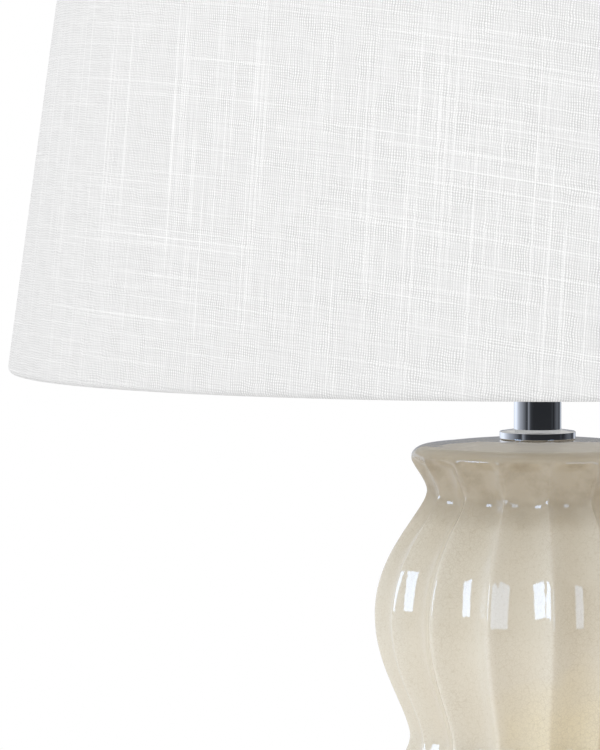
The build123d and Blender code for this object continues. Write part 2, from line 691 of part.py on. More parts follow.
with BuildPart() as terminal_screws:
    for side in (-1, 1):
        with BuildSketch(Plane.YZ.offset(side * TERMINAL_X)):
            with Locations((0, TERMINAL_Z)):
                Circle(TERMINAL_HEAD_RADIUS)
        extrude(amount=side * TERMINAL_HEAD_HEIGHT)
        with BuildSketch(Plane.YZ.offset(side * TERMINAL_X)):
            with Locations((0, TERMINAL_Z)):
                Circle(TERMINAL_SHANK_RADIUS)
        extrude(amount=-side * TERMINAL_SHANK_LENGTH)
        with BuildSketch(Plane.YZ.offset(side * (TERMINAL_X + TERMINAL_HEAD_HEIGHT))):
            with Locations((0, TERMINAL_Z)):
                Rectangle(2 * TERMINAL_HEAD_RADIUS, TERMINAL_SLOT)
        extrude(amount=-side * TERMINAL_SLOT, mode=Mode.SUBTRACT)
save(terminal_screws, "terminal_screws")

# Lampholder: threaded shell, drawn as a plain cup, and the centre contact
with BuildPart() as screw_shell:
    with BuildSketch(Plane.XY.offset(CORE_TOP_Z)):
        Circle(SCREW_SHELL_RADIUS)
    extrude(amount=SCREW_SHELL_TOP_Z - CORE_TOP_Z)
    with BuildSketch(Plane.XY.offset(CORE_TOP_Z + SCREW_SHELL_WALL)):
        Circle(SCREW_SHELL_RADIUS - SCREW_SHELL_WALL)
    extrude(amount=SCREW_SHELL_TOP_Z - CORE_TOP_Z, mode=Mode.SUBTRACT)
    with BuildSketch(Plane.XY.offset(CORE_TOP_Z)):
        Circle(SCREW_SHELL_HOLE)
    extrude(amount=SCREW_SHELL_WALL, mode=Mode.SUBTRACT)
save(screw_shell, "screw_shell")

with BuildPart() as centre_contact:
    with BuildSketch(Plane.XY.offset(CORE_TOP_Z)):
        Circle(CONTACT_RADIUS)
    extrude(amount=CONTACT_PLATE)
    with BuildSketch(Plane.XY.offset(CORE_TOP_Z)):
        Circle(CONTACT_BUMP_RADIUS)
    extrude(amount=CONTACT_HEIGHT)
save(centre_contact, "centre_contact")

# Turn switch: the shaft runs out of the core through the shell into the knob
KNOB_Y = SHELL_RADIUS + KNOB_GAP
with BuildPart() as switch_shaft:
    with BuildSketch(Plane.XZ.offset(SHAFT_START)):
        with Locations((0, SWITCH_Z)):
            Circle(SHAFT_RADIUS)
    extrude(amount=KNOB_Y - SHAFT_START + SHAFT_IN_KNOB)
save(switch_shaft, "switch_shaft")

with BuildPart() as switch_knob:
    with BuildSketch(Plane.XZ.offset(KNOB_Y)):
        with Locations((0, SWITCH_Z)):
            Circle(KNOB_COLLAR_RADIUS)
    extrude(amount=KNOB_COLLAR_LENGTH)
    with BuildSketch(Plane.XZ.offset(KNOB_Y + KNOB_COLLAR_LENGTH)):
        with Locations((0, SWITCH_Z)):
            SlotOverall(KNOB_PADDLE_WIDTH, KNOB_PADDLE_THICKNESS)
    extrude(amount=KNOB_PADDLE_LENGTH)
    fillet(switch_knob.edges().group_by(Axis.Y)[0], radius=KNOB_EDGE)
    with BuildSketch(Plane.XZ.offset(KNOB_Y)):
        with Locations((0, SWITCH_Z)):
            Circle(SHAFT_RADIUS + THREAD_CLEARANCE)
    extrude(amount=SHAFT_IN_KNOB + THREAD_CLEARANCE, mode=Mode.SUBTRACT)
save(switch_knob, "switch_knob")

# Bulb: contact, insulator, screw base, housing and globe
BASE_Z = BULB_Z + BULB_TIP_HEIGHT + BULB_INSULATOR_HEIGHT
GLOBE_Z = BULB_Z + BULB_LENGTH - BULB_RADIUS
with BuildPart() as bulb_contact:
    with BuildSketch(Plane.XY.offset(BULB_Z)):
        Circle(BULB_TIP_RADIUS)
    extrude(amount=BULB_TIP_HEIGHT)
save(bulb_contact, "bulb_contact")

with BuildPart() as bulb_insulator:
    with BuildSketch(Plane.XY.offset(BULB_Z + BULB_TIP_HEIGHT)):
        Circle(BULB_TIP_RADIUS)
    with BuildSketch(Plane.XY.offset(BASE_Z)):
        Circle(BULB_BASE_RADIUS - BULB_BASE_WALL)
    loft()
save(bulb_insulator, "bulb_insulator")

with BuildPart() as bulb_screw_base:
    with BuildSketch(Plane.XY.offset(BASE_Z)):
        Circle(BULB_BASE_RADIUS)
    extrude(amount=BULB_NECK_Z - BASE_Z)
    with BuildSketch(Plane.XY.offset(BASE_Z + BULB_BASE_WALL)):
        Circle(BULB_BASE_RADIUS - BULB_BASE_WALL)
    extrude(amount=BULB_NECK_Z - BASE_Z, mode=Mode.SUBTRACT)
save(bulb_screw_base, "bulb_screw_base")

with BuildPart() as bulb_housing:
    neck_inside = BULB_NECK_RADIUS - BULB_HOUSING_WALL
    rim_inside = BULB_RADIUS - BULB_HOUSING_WALL
    with BuildSketch(Plane.XZ):
        with BuildLine():
            Spline(
                (BULB_NECK_RADIUS, BULB_NECK_Z),
                (BULB_RADIUS, GLOBE_Z),
                tangents=((0, 1), (0, 1)),
            )
            Line((BULB_RADIUS, GLOBE_Z), (rim_inside, GLOBE_Z))
            Spline((rim_inside, GLOBE_Z), (neck_inside, BULB_NECK_Z), tangents=((0, -1), (0, -1)))
            Line((neck_inside, BULB_NECK_Z), (BULB_NECK_RADIUS, BULB_NECK_Z))
        make_face()
    revolve(axis=Axis.Z)
save(bulb_housing, "bulb_housing")

with BuildPart() as bulb_globe:
    with BuildSketch(Plane.XZ):
        with BuildLine():
            globe_inside = BULB_RADIUS - BULB_GLOBE_WALL
            CenterArc((0, GLOBE_Z), BULB_RADIUS, 0, 90)
            Line((0, GLOBE_Z + BULB_RADIUS), (0, GLOBE_Z + globe_inside))
            CenterArc((0, GLOBE_Z), globe_inside, 0, 90)
            Line((globe_inside, GLOBE_Z), (BULB_RADIUS, GLOBE_Z))
        make_face()
    revolve(axis=Axis.Z)
save(bulb_globe, "bulb_globe")

# Harp: one bent wire with a flat eye on top, its legs halved where they stand against the saddle's tabs
LEG_BEND_Z = SHOULDER_Z + FERRULE_HEIGHT + FERRULE_TRAVEL + LEG_SPARE + HARP_FLARE_RISE
FLARE_TOP_Z = LEG_BEND_Z + HARP_FLARE_HEIGHT
HARP_SHOULDER_Z = HARP_TOP_Z - HARP_SHOULDER_DROP
with BuildPart() as harp:
    with BuildLine(Plane.XZ) as harp_line:
        FilletPolyline(
            (-HARP_LEG_X, SHOULDER_Z),
            (-HARP_LEG_X, LEG_BEND_Z),
            (-HARP_HALF_WIDTH, FLARE_TOP_Z),
            (-HARP_HALF_WIDTH, HARP_SHOULDER_Z),
            (-HARP_TOP_HALF_WIDTH, HARP_TOP_Z),
            (HARP_TOP_HALF_WIDTH, HARP_TOP_Z),
            (HARP_HALF_WIDTH, HARP_SHOULDER_Z),
            (HARP_HALF_WIDTH, FLARE_TOP_Z),
            (HARP_LEG_X, LEG_BEND_Z),
            (HARP_LEG_X, SHOULDER_Z),
            radius=(
                HARP_FLARE_BEND,
                HARP_SIDE_BEND,
                HARP_SIDE_BEND,
                HARP_TOP_BEND,
                HARP_TOP_BEND,
                HARP_SIDE_BEND,
                HARP_SIDE_BEND,
                HARP_FLARE_BEND,
            ),
        )
    with BuildSketch(Plane.XY.offset(SHOULDER_Z)):
        with Locations((-HARP_LEG_X, 0)):
            Circle(HARP_WIRE_RADIUS)
    sweep(path=harp_line.wire())
    with BuildSketch(Plane.XY.offset(HARP_TOP_Z - HARP_EYE_THICKNESS / 2)):
        Circle(HARP_EYE_RADIUS)
    extrude(amount=HARP_EYE_THICKNESS)
    with BuildSketch(Plane.XY.offset(HARP_TOP_Z - HARP_EYE_THICKNESS)):
        Circle(STUD_SHANK_RADIUS + STUD_CLEARANCE)
    extrude(amount=2 * HARP_EYE_THICKNESS, mode=Mode.SUBTRACT)
    with BuildSketch(Plane.XY.offset(SHOULDER_Z)):
        Rectangle(2 * HARP_LEG_X, 4 * HARP_WIRE_RADIUS)
    extrude(amount=SADDLE_TAB_HEIGHT, mode=Mode.SUBTRACT)
    for side in (-1, 1):
        with BuildSketch(Plane.XY.offset(HARP_TOP_Z + side * HARP_EYE_THICKNESS / 2)):
            Circle(HARP_EYE_RADIUS)
        extrude(amount=side * HARP_WIRE_RADIUS, mode=Mode.SUBTRACT)
save(harp, "harp")

# Ferrules that slide down over the legs and the tabs
for side, side_name in ((-1, "left"), (1, "right")):
    with BuildPart() as ferrule:
        with BuildSketch(Plane.XY.offset(SHOULDER_Z)):
            with Locations((side * HARP_LEG_X, 0)):
                Circle(FERRULE_BORE_RADIUS + FERRULE_WALL)
                Circle(FERRULE_BORE_RADIUS, mode=Mode.SUBTRACT)
        extrude(amount=FERRULE_HEIGHT)
        chamfer(ferrule.edges().group_by(Axis.Z)[-1], length=FERRULE_EDGE)
    save(ferrule, f"ferrule_{side_name}")

# Turning stud: riveted through the eye, with the seat for the spider and the thread for the finial
with BuildPart() as harp_swivel_stud:
    rivet_z = HARP_TOP_Z - HARP_EYE_THICKNESS / 2 - THREAD_CLEARANCE
    with BuildSketch(Plane.XY.offset(rivet_z - STUD_RIVET_HEIGHT)):
        Circle(STUD_RIVET_RADIUS)
    extrude(amount=STUD_RIVET_HEIGHT)
    with BuildSketch(Plane.XY.offset(rivet_z)):
        Circle(STUD_SHANK_RADIUS)
    extrude(amount=EYE_TOP_Z - rivet_z)
    with BuildSketch(Plane.XY.offset(EYE_TOP_Z)):
        Circle(STUD_SEAT_RADIUS)
    extrude(amount=STUD_SEAT_HEIGHT)
    with BuildSketch(Plane.XY.offset(HUB_SEAT_Z)):
        Circle(STUD_THREAD_RADIUS)
    extrude(amount=STUD_THREAD_LENGTH)
save(harp_swivel_stud, "harp_swivel_stud")

# Finial: a base, a waist and a ball, with a blind bore for the stud
BALL_Z = FINIAL_Z + FINIAL_BASE_HEIGHT + FINIAL_NECK_HEIGHT + FINIAL_BALL_RADIUS
BALL_JOIN = sqrt(FINIAL_BALL_RADIUS**2 - FINIAL_NECK_RADIUS**2)
with BuildPart() as finial:
    with BuildSketch(Plane.XZ):
        with BuildLine():
            base_top = FINIAL_Z + FINIAL_BASE_HEIGHT
            Polyline((0, FINIAL_Z), (FINIAL_BASE_RADIUS, FINIAL_Z), (FINIAL_BASE_RADIUS, base_top))
            Line((FINIAL_BASE_RADIUS, base_top), (FINIAL_NECK_RADIUS, base_top))
            Line((FINIAL_NECK_RADIUS, base_top), (FINIAL_NECK_RADIUS, BALL_Z - BALL_JOIN))
            ThreePointArc(
                (FINIAL_NECK_RADIUS, BALL_Z - BALL_JOIN),
                (FINIAL_BALL_RADIUS, BALL_Z),
                (0, BALL_Z + FINIAL_BALL_RADIUS),
            )
            Line((0, BALL_Z + FINIAL_BALL_RADIUS), (0, FINIAL_Z))
        make_face()
    revolve(axis=Axis.Z)
    base_face = finial.faces().filter_by(GeomType.PLANE).sort_by(Axis.Z)[-1]
    fillet(base_face.outer_wire().edges(), radius=FINIAL_EDGE)
    with BuildSketch(Plane.XY.offset(FINIAL_Z)):
        Circle(STUD_THREAD_RADIUS + STUD_CLEARANCE)
    bore_depth = STUD_THREAD_LENGTH - SPIDER_HUB_THICKNESS + FINIAL_BORE_SPARE
    extrude(amount=bore_depth, mode=Mode.SUBTRACT)
save(finial, "finial")

# Shade rings, in the middle of each rolled hem
BOTTOM_RING = on_wall(BOTTOM_RING_ALONG, ROLL_RADIUS)
TOP_RING = on_wall(TOP_RING_ALONG, ROLL_RADIUS)
with BuildPart() as shade_bottom_ring:
    with BuildSketch(Plane.XZ):
        with Locations(BOTTOM_RING):
            Circle(RING_WIRE_RADIUS)
    revolve(axis=Axis.Z)
save(shade_bottom_ring, "shade_bottom_ring")

with BuildPart() as shade_top_ring:
    with BuildSketch(Plane.XZ):
        with Locations(TOP_RING):
            Circle(RING_WIRE_RADIUS)
    revolve(axis=Axis.Z)
save(shade_top_ring, "shade_top_ring")

# Spider: a hub washer with three arms that rise to the top ring, coped to its round
with BuildPart() as shade_spider:
    with BuildSketch(Plane.XY.offset(HUB_SEAT_Z)):
        Circle(SPIDER_HUB_RADIUS)
    extrude(amount=SPIDER_HUB_THICKNESS)
    for angle in SPIDER_ANGLES:
        arm_plane = front_plane(angle)
        with BuildLine(arm_plane) as arm_line:
            FilletPolyline(
                (SPIDER_ROOT, SPIDER_Z),
                (SPIDER_FLAT, SPIDER_Z),
                (SPIDER_RAMP, RING_Z),
                (TOP_RING[0], RING_Z),
                radius=SPIDER_BEND,
            )
        with BuildSketch(Plane(origin=arm_line.wire() @ 0, z_dir=arm_line.wire() % 0)):
            Circle(SPIDER_WIRE_RADIUS)
        sweep(path=arm_line.wire())
    for side, level in ((-1, HUB_SEAT_Z), (1, FINIAL_Z)):
        with BuildSketch(Plane.XY.offset(level)):
            Circle(SPIDER_HUB_RADIUS)
        extrude(amount=side * SPIDER_WIRE_RADIUS, mode=Mode.SUBTRACT)
    with BuildSketch(Plane.XY.offset(HUB_SEAT_Z)):
        Circle(STUD_THREAD_RADIUS + SPIDER_HOLE_CLEARANCE)
    extrude(amount=SPIDER_HUB_THICKNESS, mode=Mode.SUBTRACT)
    add(shade_top_ring.part, mode=Mode.SUBTRACT)
save(shade_spider, "shade_spider")

# Stiff backing of the shade, between the two rings
with BuildPart() as shade_liner:
    with BuildSketch(Plane.XZ):
        with BuildLine():
            low = BOTTOM_RING_ALONG + BACKING_START
            high = TOP_RING_ALONG - BACKING_START
            Polyline(
                on_wall(low, BACKING_IN),
                on_wall(high, BACKING_IN),
                on_wall(high, BACKING_IN + BACKING_THICKNESS),
                on_wall(low, BACKING_IN + BACKING_THICKNESS),
                close=True,
            )
        make_face()
    revolve(axis=Axis.Z)
save(shade_liner, "shade_liner")

# Shade fabric: the wall, a hem rolled round each ring, the lapped back seam and the slits for the arms
with BuildPart() as shade_fabric:
    with BuildSketch(Plane.XZ):
        with BuildLine():
            FilletPolyline(
                on_wall(BOTTOM_RING_ALONG + HEM_DEPTH, HEM_IN),
                on_wall(BOTTOM_RING_ALONG + HEM_SETTLE, HEM_IN),
                on_wall(BOTTOM_RING_ALONG + HEM_HUG, 2 * ROLL_RADIUS),
                on_wall(BOTTOM_RING_ALONG - ROLL_RADIUS, 2 * ROLL_RADIUS),
                on_wall(BOTTOM_RING_ALONG - ROLL_RADIUS, 0),
                on_wall(TOP_RING_ALONG + ROLL_RADIUS, 0),
                on_wall(TOP_RING_ALONG + ROLL_RADIUS, 2 * ROLL_RADIUS),
                on_wall(TOP_RING_ALONG - HEM_HUG, 2 * ROLL_RADIUS),
                on_wall(TOP_RING_ALONG - HEM_SETTLE, HEM_IN),
                on_wall(TOP_RING_ALONG - HEM_DEPTH, HEM_IN),
                radius=(
                    HEM_BEND,
                    HEM_BEND,
                    ROLL_SHARE * ROLL_RADIUS,
                    ROLL_SHARE * ROLL_RADIUS,
                    ROLL_SHARE * ROLL_RADIUS,
                    ROLL_SHARE * ROLL_RADIUS,
                    HEM_BEND,
                    HEM_BEND,
                ),
            )
        trace(line_width=FABRIC_THICKNESS)
    revolve(axis=Axis.Z)
    seam_angle = SEAM_WIDTH / SHADE_BOTTOM_RADIUS * 180 / pi
    with BuildSketch(front_plane(90 - seam_angle / 2)):
        with BuildLine():
            Polyline(
                on_wall(BOTTOM_RING_ALONG, 0),
                on_wall(TOP_RING_ALONG, 0),
                on_wall(TOP_RING_ALONG, -1.5 * FABRIC_THICKNESS),
                on_wall(BOTTOM_RING_ALONG, -1.5 * FABRIC_THICKNESS),
                close=True,
            )
        make_face()
    revolve(axis=Axis.Z, revolution_arc=seam_angle)
    for angle in SPIDER_ANGLES:
        turn = radians(angle)
        slit_start = (TOP_RING[0] * cos(turn), TOP_RING[0] * sin(turn), RING_Z)
        with BuildSketch(Plane(origin=slit_start, z_dir=(-cos(turn), -sin(turn), 0))):
            Circle(SPIDER_WIRE_RADIUS + SPIDER_SLIT)
        extrude(amount=HEM_DEPTH, mode=Mode.SUBTRACT)
save(shade_fabric, "shade_fabric")
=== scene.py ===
import bpy
import json
from math import atan2, cos, hypot, pi, radians, sin, sqrt, tan
from mathutils import Matrix, Vector

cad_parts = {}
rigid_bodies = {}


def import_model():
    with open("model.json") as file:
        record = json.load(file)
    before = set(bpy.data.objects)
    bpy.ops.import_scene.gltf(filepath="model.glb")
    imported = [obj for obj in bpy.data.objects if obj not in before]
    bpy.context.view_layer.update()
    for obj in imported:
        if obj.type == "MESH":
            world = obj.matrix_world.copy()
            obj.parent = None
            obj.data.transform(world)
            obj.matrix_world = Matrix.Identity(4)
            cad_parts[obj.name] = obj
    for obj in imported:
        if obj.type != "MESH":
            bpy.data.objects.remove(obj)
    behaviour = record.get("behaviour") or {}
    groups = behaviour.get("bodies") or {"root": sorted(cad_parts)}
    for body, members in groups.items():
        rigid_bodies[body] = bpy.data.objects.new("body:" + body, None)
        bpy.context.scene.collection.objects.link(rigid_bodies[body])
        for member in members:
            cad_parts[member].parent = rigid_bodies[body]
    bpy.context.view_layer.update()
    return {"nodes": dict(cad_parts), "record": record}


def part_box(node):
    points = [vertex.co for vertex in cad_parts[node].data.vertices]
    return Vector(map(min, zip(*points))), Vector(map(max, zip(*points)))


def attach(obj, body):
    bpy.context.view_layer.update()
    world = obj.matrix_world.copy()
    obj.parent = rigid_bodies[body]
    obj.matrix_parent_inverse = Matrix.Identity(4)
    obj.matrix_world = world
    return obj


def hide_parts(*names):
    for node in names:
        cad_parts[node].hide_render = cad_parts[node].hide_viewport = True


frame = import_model()
NODES = frame["nodes"]
MM = 0.001

# Camera, fitted to the photograph's outlines in a 600 by 750 frame
IMAGE_LONG_SIDE = 750
FOCAL_PIXELS = 5000
SENSOR = 36.0
CAMERA_DISTANCE = 1.9183
CAMERA_HEIGHT = 0.4359
CAMERA_AZIMUTH = 5.75
CAMERA_PAN = 2.726
CAMERA_PITCH = 3.058

# Ceramic body, in mm and degrees: ridge radii at each station from the foot up, and the rises between them
FOOT_EDGE, FOOT, ANKLE, LOWER_BULB = 64.0, 67.0, 58.0, 87.0
WAIST, UPPER_BULB, THROAT, LIP, LIP_EDGE = 48.75, 62.65, 42.4, 48.6, 41.8
RISES = (5.0, 20.0, 80.0, 87.4, 47.4, 46.7, 13.6, 4.7)
DOME_RISE = 2.1
SEAT_RADIUS = 16.0
BULB_SWELL = 0.7
BELLY_SWELL = 0.77
SHOULDER_SWELL = 0.66
HOLLOW_ROUNDING = 2.4
ROUNDING_STEPS = 8
LIP_SWELL = 1.27
FLUTES = 16
FLUTE_SIDE_ANGLE = 38.0
FLUTE_DROP = 3.0
FLUTE_DROP_REACH = 13.6
FLUTE_DROP_FLATNESS = 6
FOOT_RUN_OUT = 11.0
LIP_RUN_OUT = 4.5
ARCH_RISE = 1.0
ARCH_ROUNDING = 0.05
RIDGE_ROUNDING = 0.13
STEPS_PER_FLUTE = 28
RIDGE_CROWDING = 0.16
ROW_SPACING = 1.6
LIP_ROW_SPACING = 0.5
EDGE_ROWS = 10
DOME_ROWS = 10
RECESS_RADIUS = 52.0
RECESS_DEPTH = 16.0
PIPE_HOLE = 5.0
FIT = 0.1
GROMMET_WALL_RADIUS = 4.8
GROMMET_FLANGE = 2.0
HOLE_INWARD_REACH = 12.0
HOLE_OUTWARD_REACH = 5.0
HOLE_SEGMENTS = 48
SHARP_EDGE = 50.0

# Glaze: heights where its tone changes, in mm from the throat (the first) or from the lip
# The band under the lip is brown pooled glaze, darkened further as painted shade from the lip and the
# lampshade above
POOL_AND_SHADE_RISE = (-11.5, 2.5)
POOL_AND_SHADE_FADE = (0.4, 3.4)
# The lip's top and the dome are darkened as painted shade, where they face up into the lampshade's dim inside
TOP_SHADE_BLEND = (-0.1, 3.9)

# Glaze, in metres: middle, reach and uneven edge of a painted warm reflection, bends of the cracks, waves of
# the surface
WARM_REFLECTION_CENTRE = (0.018, -0.047, 0.195)
WARM_REFLECTION_REACH = (0.026, 0.050)
WARM_REFLECTION_RAGGEDNESS = 0.03
CRACK_BEND = 0.0012
WAVE_HEIGHT = 0.00025

# Glaze: noise scales, crackle nets as (cells in a metre, width of a crack as a share of a cell), and tones
CLOUD_SCALE = 22.0
BLOTCH_SCALE = 85.0
WARM_REFLECTION_EDGE_SCALE = 60.0
CRACK_BEND_SCALE = 260.0
CRACK_PATCH_SCALE = 34.0
GRAIN_SCALE = 1100.0
WAVE_SCALE = 65.0
CRACKLE_NETS = ((420.0, 0.05), (900.0, 0.09))
GLAZE_TONES = [(0.1, (0.790, 0.725, 0.608)), (0.55, (0.760, 0.688, 0.558)), (1.0, (0.715, 0.630, 0.490))]
# Tone under the lip: pooled brown glaze with painted shade
POOL_AND_SHADE_TONE = (0.400, 0.330, 0.235)
# Painted shade on the lip's top and dome
TOP_SHADE_TONE = (0.515, 0.447, 0.343)
# Painted warm reflection by the waist
WARM_REFLECTION_TONE = (0.880, 0.745, 0.460)
CRACK_TONE = (0.56, 0.47, 0.33)
GRAIN_TONE = (0.58, 0.49, 0.34)

# Shade: the CAD path of the linen's cross-section, in mm, with angles in degrees
SHADE_BOTTOM_RADIUS = 203.2
SHADE_TOP_RADIUS = 168.0
SHADE_HEIGHT = 260.0
LINEN_THICKNESS = 0.5
ROLL_RADIUS = 2.05
HEM_DEPTH = 14.0
HEM_IN = 1.6
SEAM_WIDTH = 12.0
SEAM_LIFT = 0.45
SHADE_SEGMENTS = 360
WALL_ROWS = 40
ROLL_STEPS = 10
SPIDER_ANGLES = (90.0, 210.0, 330.0)
SPIDER_SLIT_RADIUS = 1.9
SLIT_SEGMENTS = 32

# Hem between its edge and the roll: distances from the ring in mm, each with the way gone in or still to go
HEM_SHARES = (1.0, 0.7)
HEM_TUCK = ((6.5, 0.12), (4.5, 0.75))
HEM_CROWN = ((2.2, 0.55), (0.9, 0.06))

# Half the turn, in radians, over which the lapped seam steps up
SEAM_EDGE_TURN = 0.0012

# Linen's threads: pitch and drift in metres, the straight grain's azimuth in degrees, and the weft's slope
THREAD_PITCH = 0.00092
THREAD_DRIFT = 0.0016
GRAIN_AZIMUTH = -19.0
WEFT_SKEW = 0.105

# Linen's noises: streaks in a metre across and along a thread, and the level where a slub starts
DRIFT_SCALE = 170.0
PATCH_SCALE = 120.0
THREAD_STREAKS = (1150.0, 70.0)
SLUB_STREAKS = (1500.0, 6.5)
SLUB_LEVELS = (("X", 0.575), ("Y", 0.595))
SLUB_RISE = 0.12
WEAVE_MEAN = 0.325
LINEN_TONE = 0.725
WEAVE_CONTRAST = 0.42
THREAD_CONTRAST = 0.04
SLUB_CONTRAST = 0.14
LINEN_GREYS = [(0.5, (0.50, 0.50, 0.50)), (1.0, (0.99, 0.99, 0.99))]
WEAVE_HEIGHT = 0.00025

# Felt disc: the cut edge as (inset in mm, share of the thickness), and how ragged it is, in mm
FELT_STEPS = 240
FELT_RINGS = 12
FELT_EDGE = ((0.35, 0.0), (0.12, 0.08), (0.0, 0.3), (0.0, 0.7), (0.15, 0.93), (0.4, 1.0))
FELT_RAGGED = 0.10
FELT_RAG_WAVES = (47, 13)
FELT_SHARP_EDGE = 60.0

# Stage, in metres: the floor, where it fades for the camera and in reflections, and the lights
FLOOR_RADIUS = 1.5
FLOOR_STEPS = 96
FLOOR_Z = -0.0002
FLOOR_FADE = (0.45, 1.15)
FLOOR_MIRROR_FADE = (0.15, 1.40)
FILL = 0.84
PANEL_COLOUR = (0.52, 0.70, 1.0)
KEY_COLOUR = (0.65, 0.79, 1.0)
WHITE = (1.0, 1.0, 1.0)
LIGHT_TARGET = 0.25
LIGHT_DISTANCE = 2.4
NEAR_DISTANCE = 1.3

# What reflections see of the studio: azimuth from the front in degrees (right is positive), and level
MIRRORED = (
    (-180.0, 0.280),
    (-170.0, 0.340),
    (-158.0, 0.800),
    (-141.0, 1.050),
    (-122.0, 1.098),
    (-111.0, 0.830),
    (-100.0, 0.586),
    (-87.0, 0.390),
    (-74.0, 0.287),
    (-66.0, 0.201),
    (-56.0, 0.110),
    (-50.0, 0.050),
    (-44.0, 0.060),
    (-40.0, 0.310),
    (-36.0, 0.200),
    (-29.0, 0.050),
    (-14.0, 0.026),
    (76.0, 0.026),
    (81.0, 0.055),
    (88.0, 0.016),
    (96.0, 0.045),
    (108.0, 0.110),
    (124.0, 0.128),
    (134.0, 0.050),
    (143.0, 0.100),
    (153.0, 0.720),
    (170.0, 0.340),
    (180.0, 0.280),
)
MIRROR_TINT = (0.93, 1.0, 1.13)


def new_mesh(name, vertices, faces, uvs=None, attributes=None):
    """A smooth-shaded mesh object, with optional per-vertex UVs and float attributes."""
    mesh = bpy.data.meshes.new(name)
    mesh.from_pydata(vertices, [], faces)
    if uvs:
        layer = mesh.uv_layers.new(name="flat_pattern")
        for loop in mesh.loops:
            layer.data[loop.index].uv = uvs[loop.vertex_index]
    for key, values in (attributes or {}).items():
        mesh.attributes.new(key, "FLOAT", "POINT").data.foreach_set("value", values)
    mesh.polygons.foreach_set("use_smooth", [True] * len(mesh.polygons))
    mesh.update()
    piece = bpy.data.objects.new(name, mesh)
    bpy.context.scene.collection.objects.link(piece)
    return piece


def band(low, high, count):
    """Quads between two closed rings of points, from the index of the first point of each."""
    pairs = [(step, (step + 1) % count) for step in range(count)]
    return [(low + step, low + beside, high + beside, high + step) for step, beside in pairs]


def lathe(name, profile, segments, tilt=0.0, turn=0.0, shift=(0, 0, 0)):
    """A closed turned mesh from (radius, height) points in mm, tilted from upright and turned round Z."""
    vertices, faces = [], []
    spin = Matrix.Rotation(radians(turn), 3, "Z") @ Matrix.Rotation(radians(tilt), 3, "Y")
    for radius, height in profile:
        for step in range(segments):
            angle = 2 * pi * step / segments
            point = spin @ Vector((radius * cos(angle), radius * sin(angle), height)) + Vector(shift)
            vertices.append(point * MM)
    for row in range(len(profile) - 1):
        faces += band(row * segments, (row + 1) * segments, segments)
    faces.append(tuple(range(segments))[::-1])
    faces.append(tuple(len(vertices) - segments + step for step in range(segments)))
    return new_mesh(name, vertices, faces)


def cut(piece, cutters):
    """Take closed cutters out of a piece's mesh, and remove them."""
    for cutter in cutters:
        modifier = piece.modifiers.new("cut", "BOOLEAN")
        modifier.operation = "DIFFERENCE"
        modifier.solver = "EXACT"
        modifier.object = cutter
    graph = bpy.context.evaluated_depsgraph_get()
    mesh = bpy.data.meshes.new_from_object(piece.evaluated_get(graph))
    piece.modifiers.clear()
    piece.data = mesh
    for cutter in cutters:
        bpy.data.objects.remove(cutter)


class Nodes:
    """Short ways to add and link the nodes of a tree."""

    def __init__(self, tree):
        self.tree = tree

    def node(self, kind, links=None, **settings):
        node = self.tree.nodes.new("ShaderNode" + kind)
        inputs = settings.pop("inputs", {})
        for key, value in settings.items():
            setattr(node, key, value)
        for key, value in inputs.items():
            node.inputs[key].default_value = value
        for key, source in (links or {}).items():
            self.tree.links.new(source, node.inputs[key])
        return node

    def math(self, operation, first, second=None, third=None):
        node = self.node("Math", operation=operation)
        for index, value in enumerate((first, second, third)):
            if value is None:
                continue
            if isinstance(value, (int, float)):
                node.inputs[index].default_value = value
            else:
                self.tree.links.new(value, node.inputs[index])
        return node.outputs[0]

    def place(self, scale=(1, 1, 1), source="Object"):
        """Texture coordinates in metres, stretched by a scale."""
        coordinates = self.node("TexCoord").outputs[source]
        return self.node("Mapping", {"Vector": coordinates}, inputs={"Scale": scale}).outputs["Vector"]

    def noise(self, vector, scale, detail=3.0, roughness=0.5):
        numbers = {"Scale": scale, "Detail": detail, "Roughness": roughness}
        return self.node("TexNoise", {"Vector": vector}, inputs=numbers).outputs["Fac"]

    def remap(self, value, low, high, to_low=0.0, to_high=1.0):
        numbers = {"From Min": low, "From Max": high, "To Min": to_low, "To Max": to_high}
        return self.node("MapRange", {"Value": value}, clamp=True, inputs=numbers).outputs["Result"]

    def ramp(self, value, stops):
        node = self.node("ValToRGB", {"Fac": value})
        elements = node.color_ramp.elements
        while len(elements) < len(stops):
            elements.new(0.5)
        for element, (position, colour) in zip(elements, stops):
            element.position = position
            element.color = (*colour, 1)
        return node.outputs["Color"]

    def mix(self, factor, first, second):
        node = self.node("Mix", data_type="RGBA")
        for key, kind, value in (("Factor", "VALUE", factor), ("A", "RGBA", first), ("B", "RGBA", second)):
            socket = next(s for s in node.inputs if s.name == key and s.type == kind)
            if isinstance(value, tuple):
                socket.default_value = (*value, 1)
            else:
                self.tree.links.new(value, socket)
        return next(s for s in node.outputs if s.type == "RGBA")


class Shader(Nodes):
    """A node material with a Principled surface."""

    def __init__(self, name, **sockets):
        self.material = bpy.data.materials.new(name)
        self.material.use_nodes = True
        super().__init__(self.material.node_tree)
        self.surface = self.tree.nodes["Principled BSDF"]
        for key, value in sockets.items():
            self.surface.inputs[key.replace("_", " ")].default_value = value

    def colour(self, source):
        self.tree.links.new(source, self.surface.inputs["Base Color"])

    def roughness(self, source):
        self.tree.links.new(source, self.surface.inputs["Roughness"])

    def bump(self, height, distance, strength):
        node = self.node("Bump", {"Height": height}, inputs={"Distance": distance, "Strength": strength})
        self.tree.links.new(node.outputs["Normal"], self.surface.inputs["Normal"])


def dress(piece, shader):
    """Give a piece its material."""
    piece.data.materials.clear()
    piece.data.materials.append(shader.material)


# Outline of the ceramic body


def swell(share, power):
    """Rise from a narrow station (0) to a wide one (1), level at both."""
    return (1 - cos(pi * share**power)) / 2


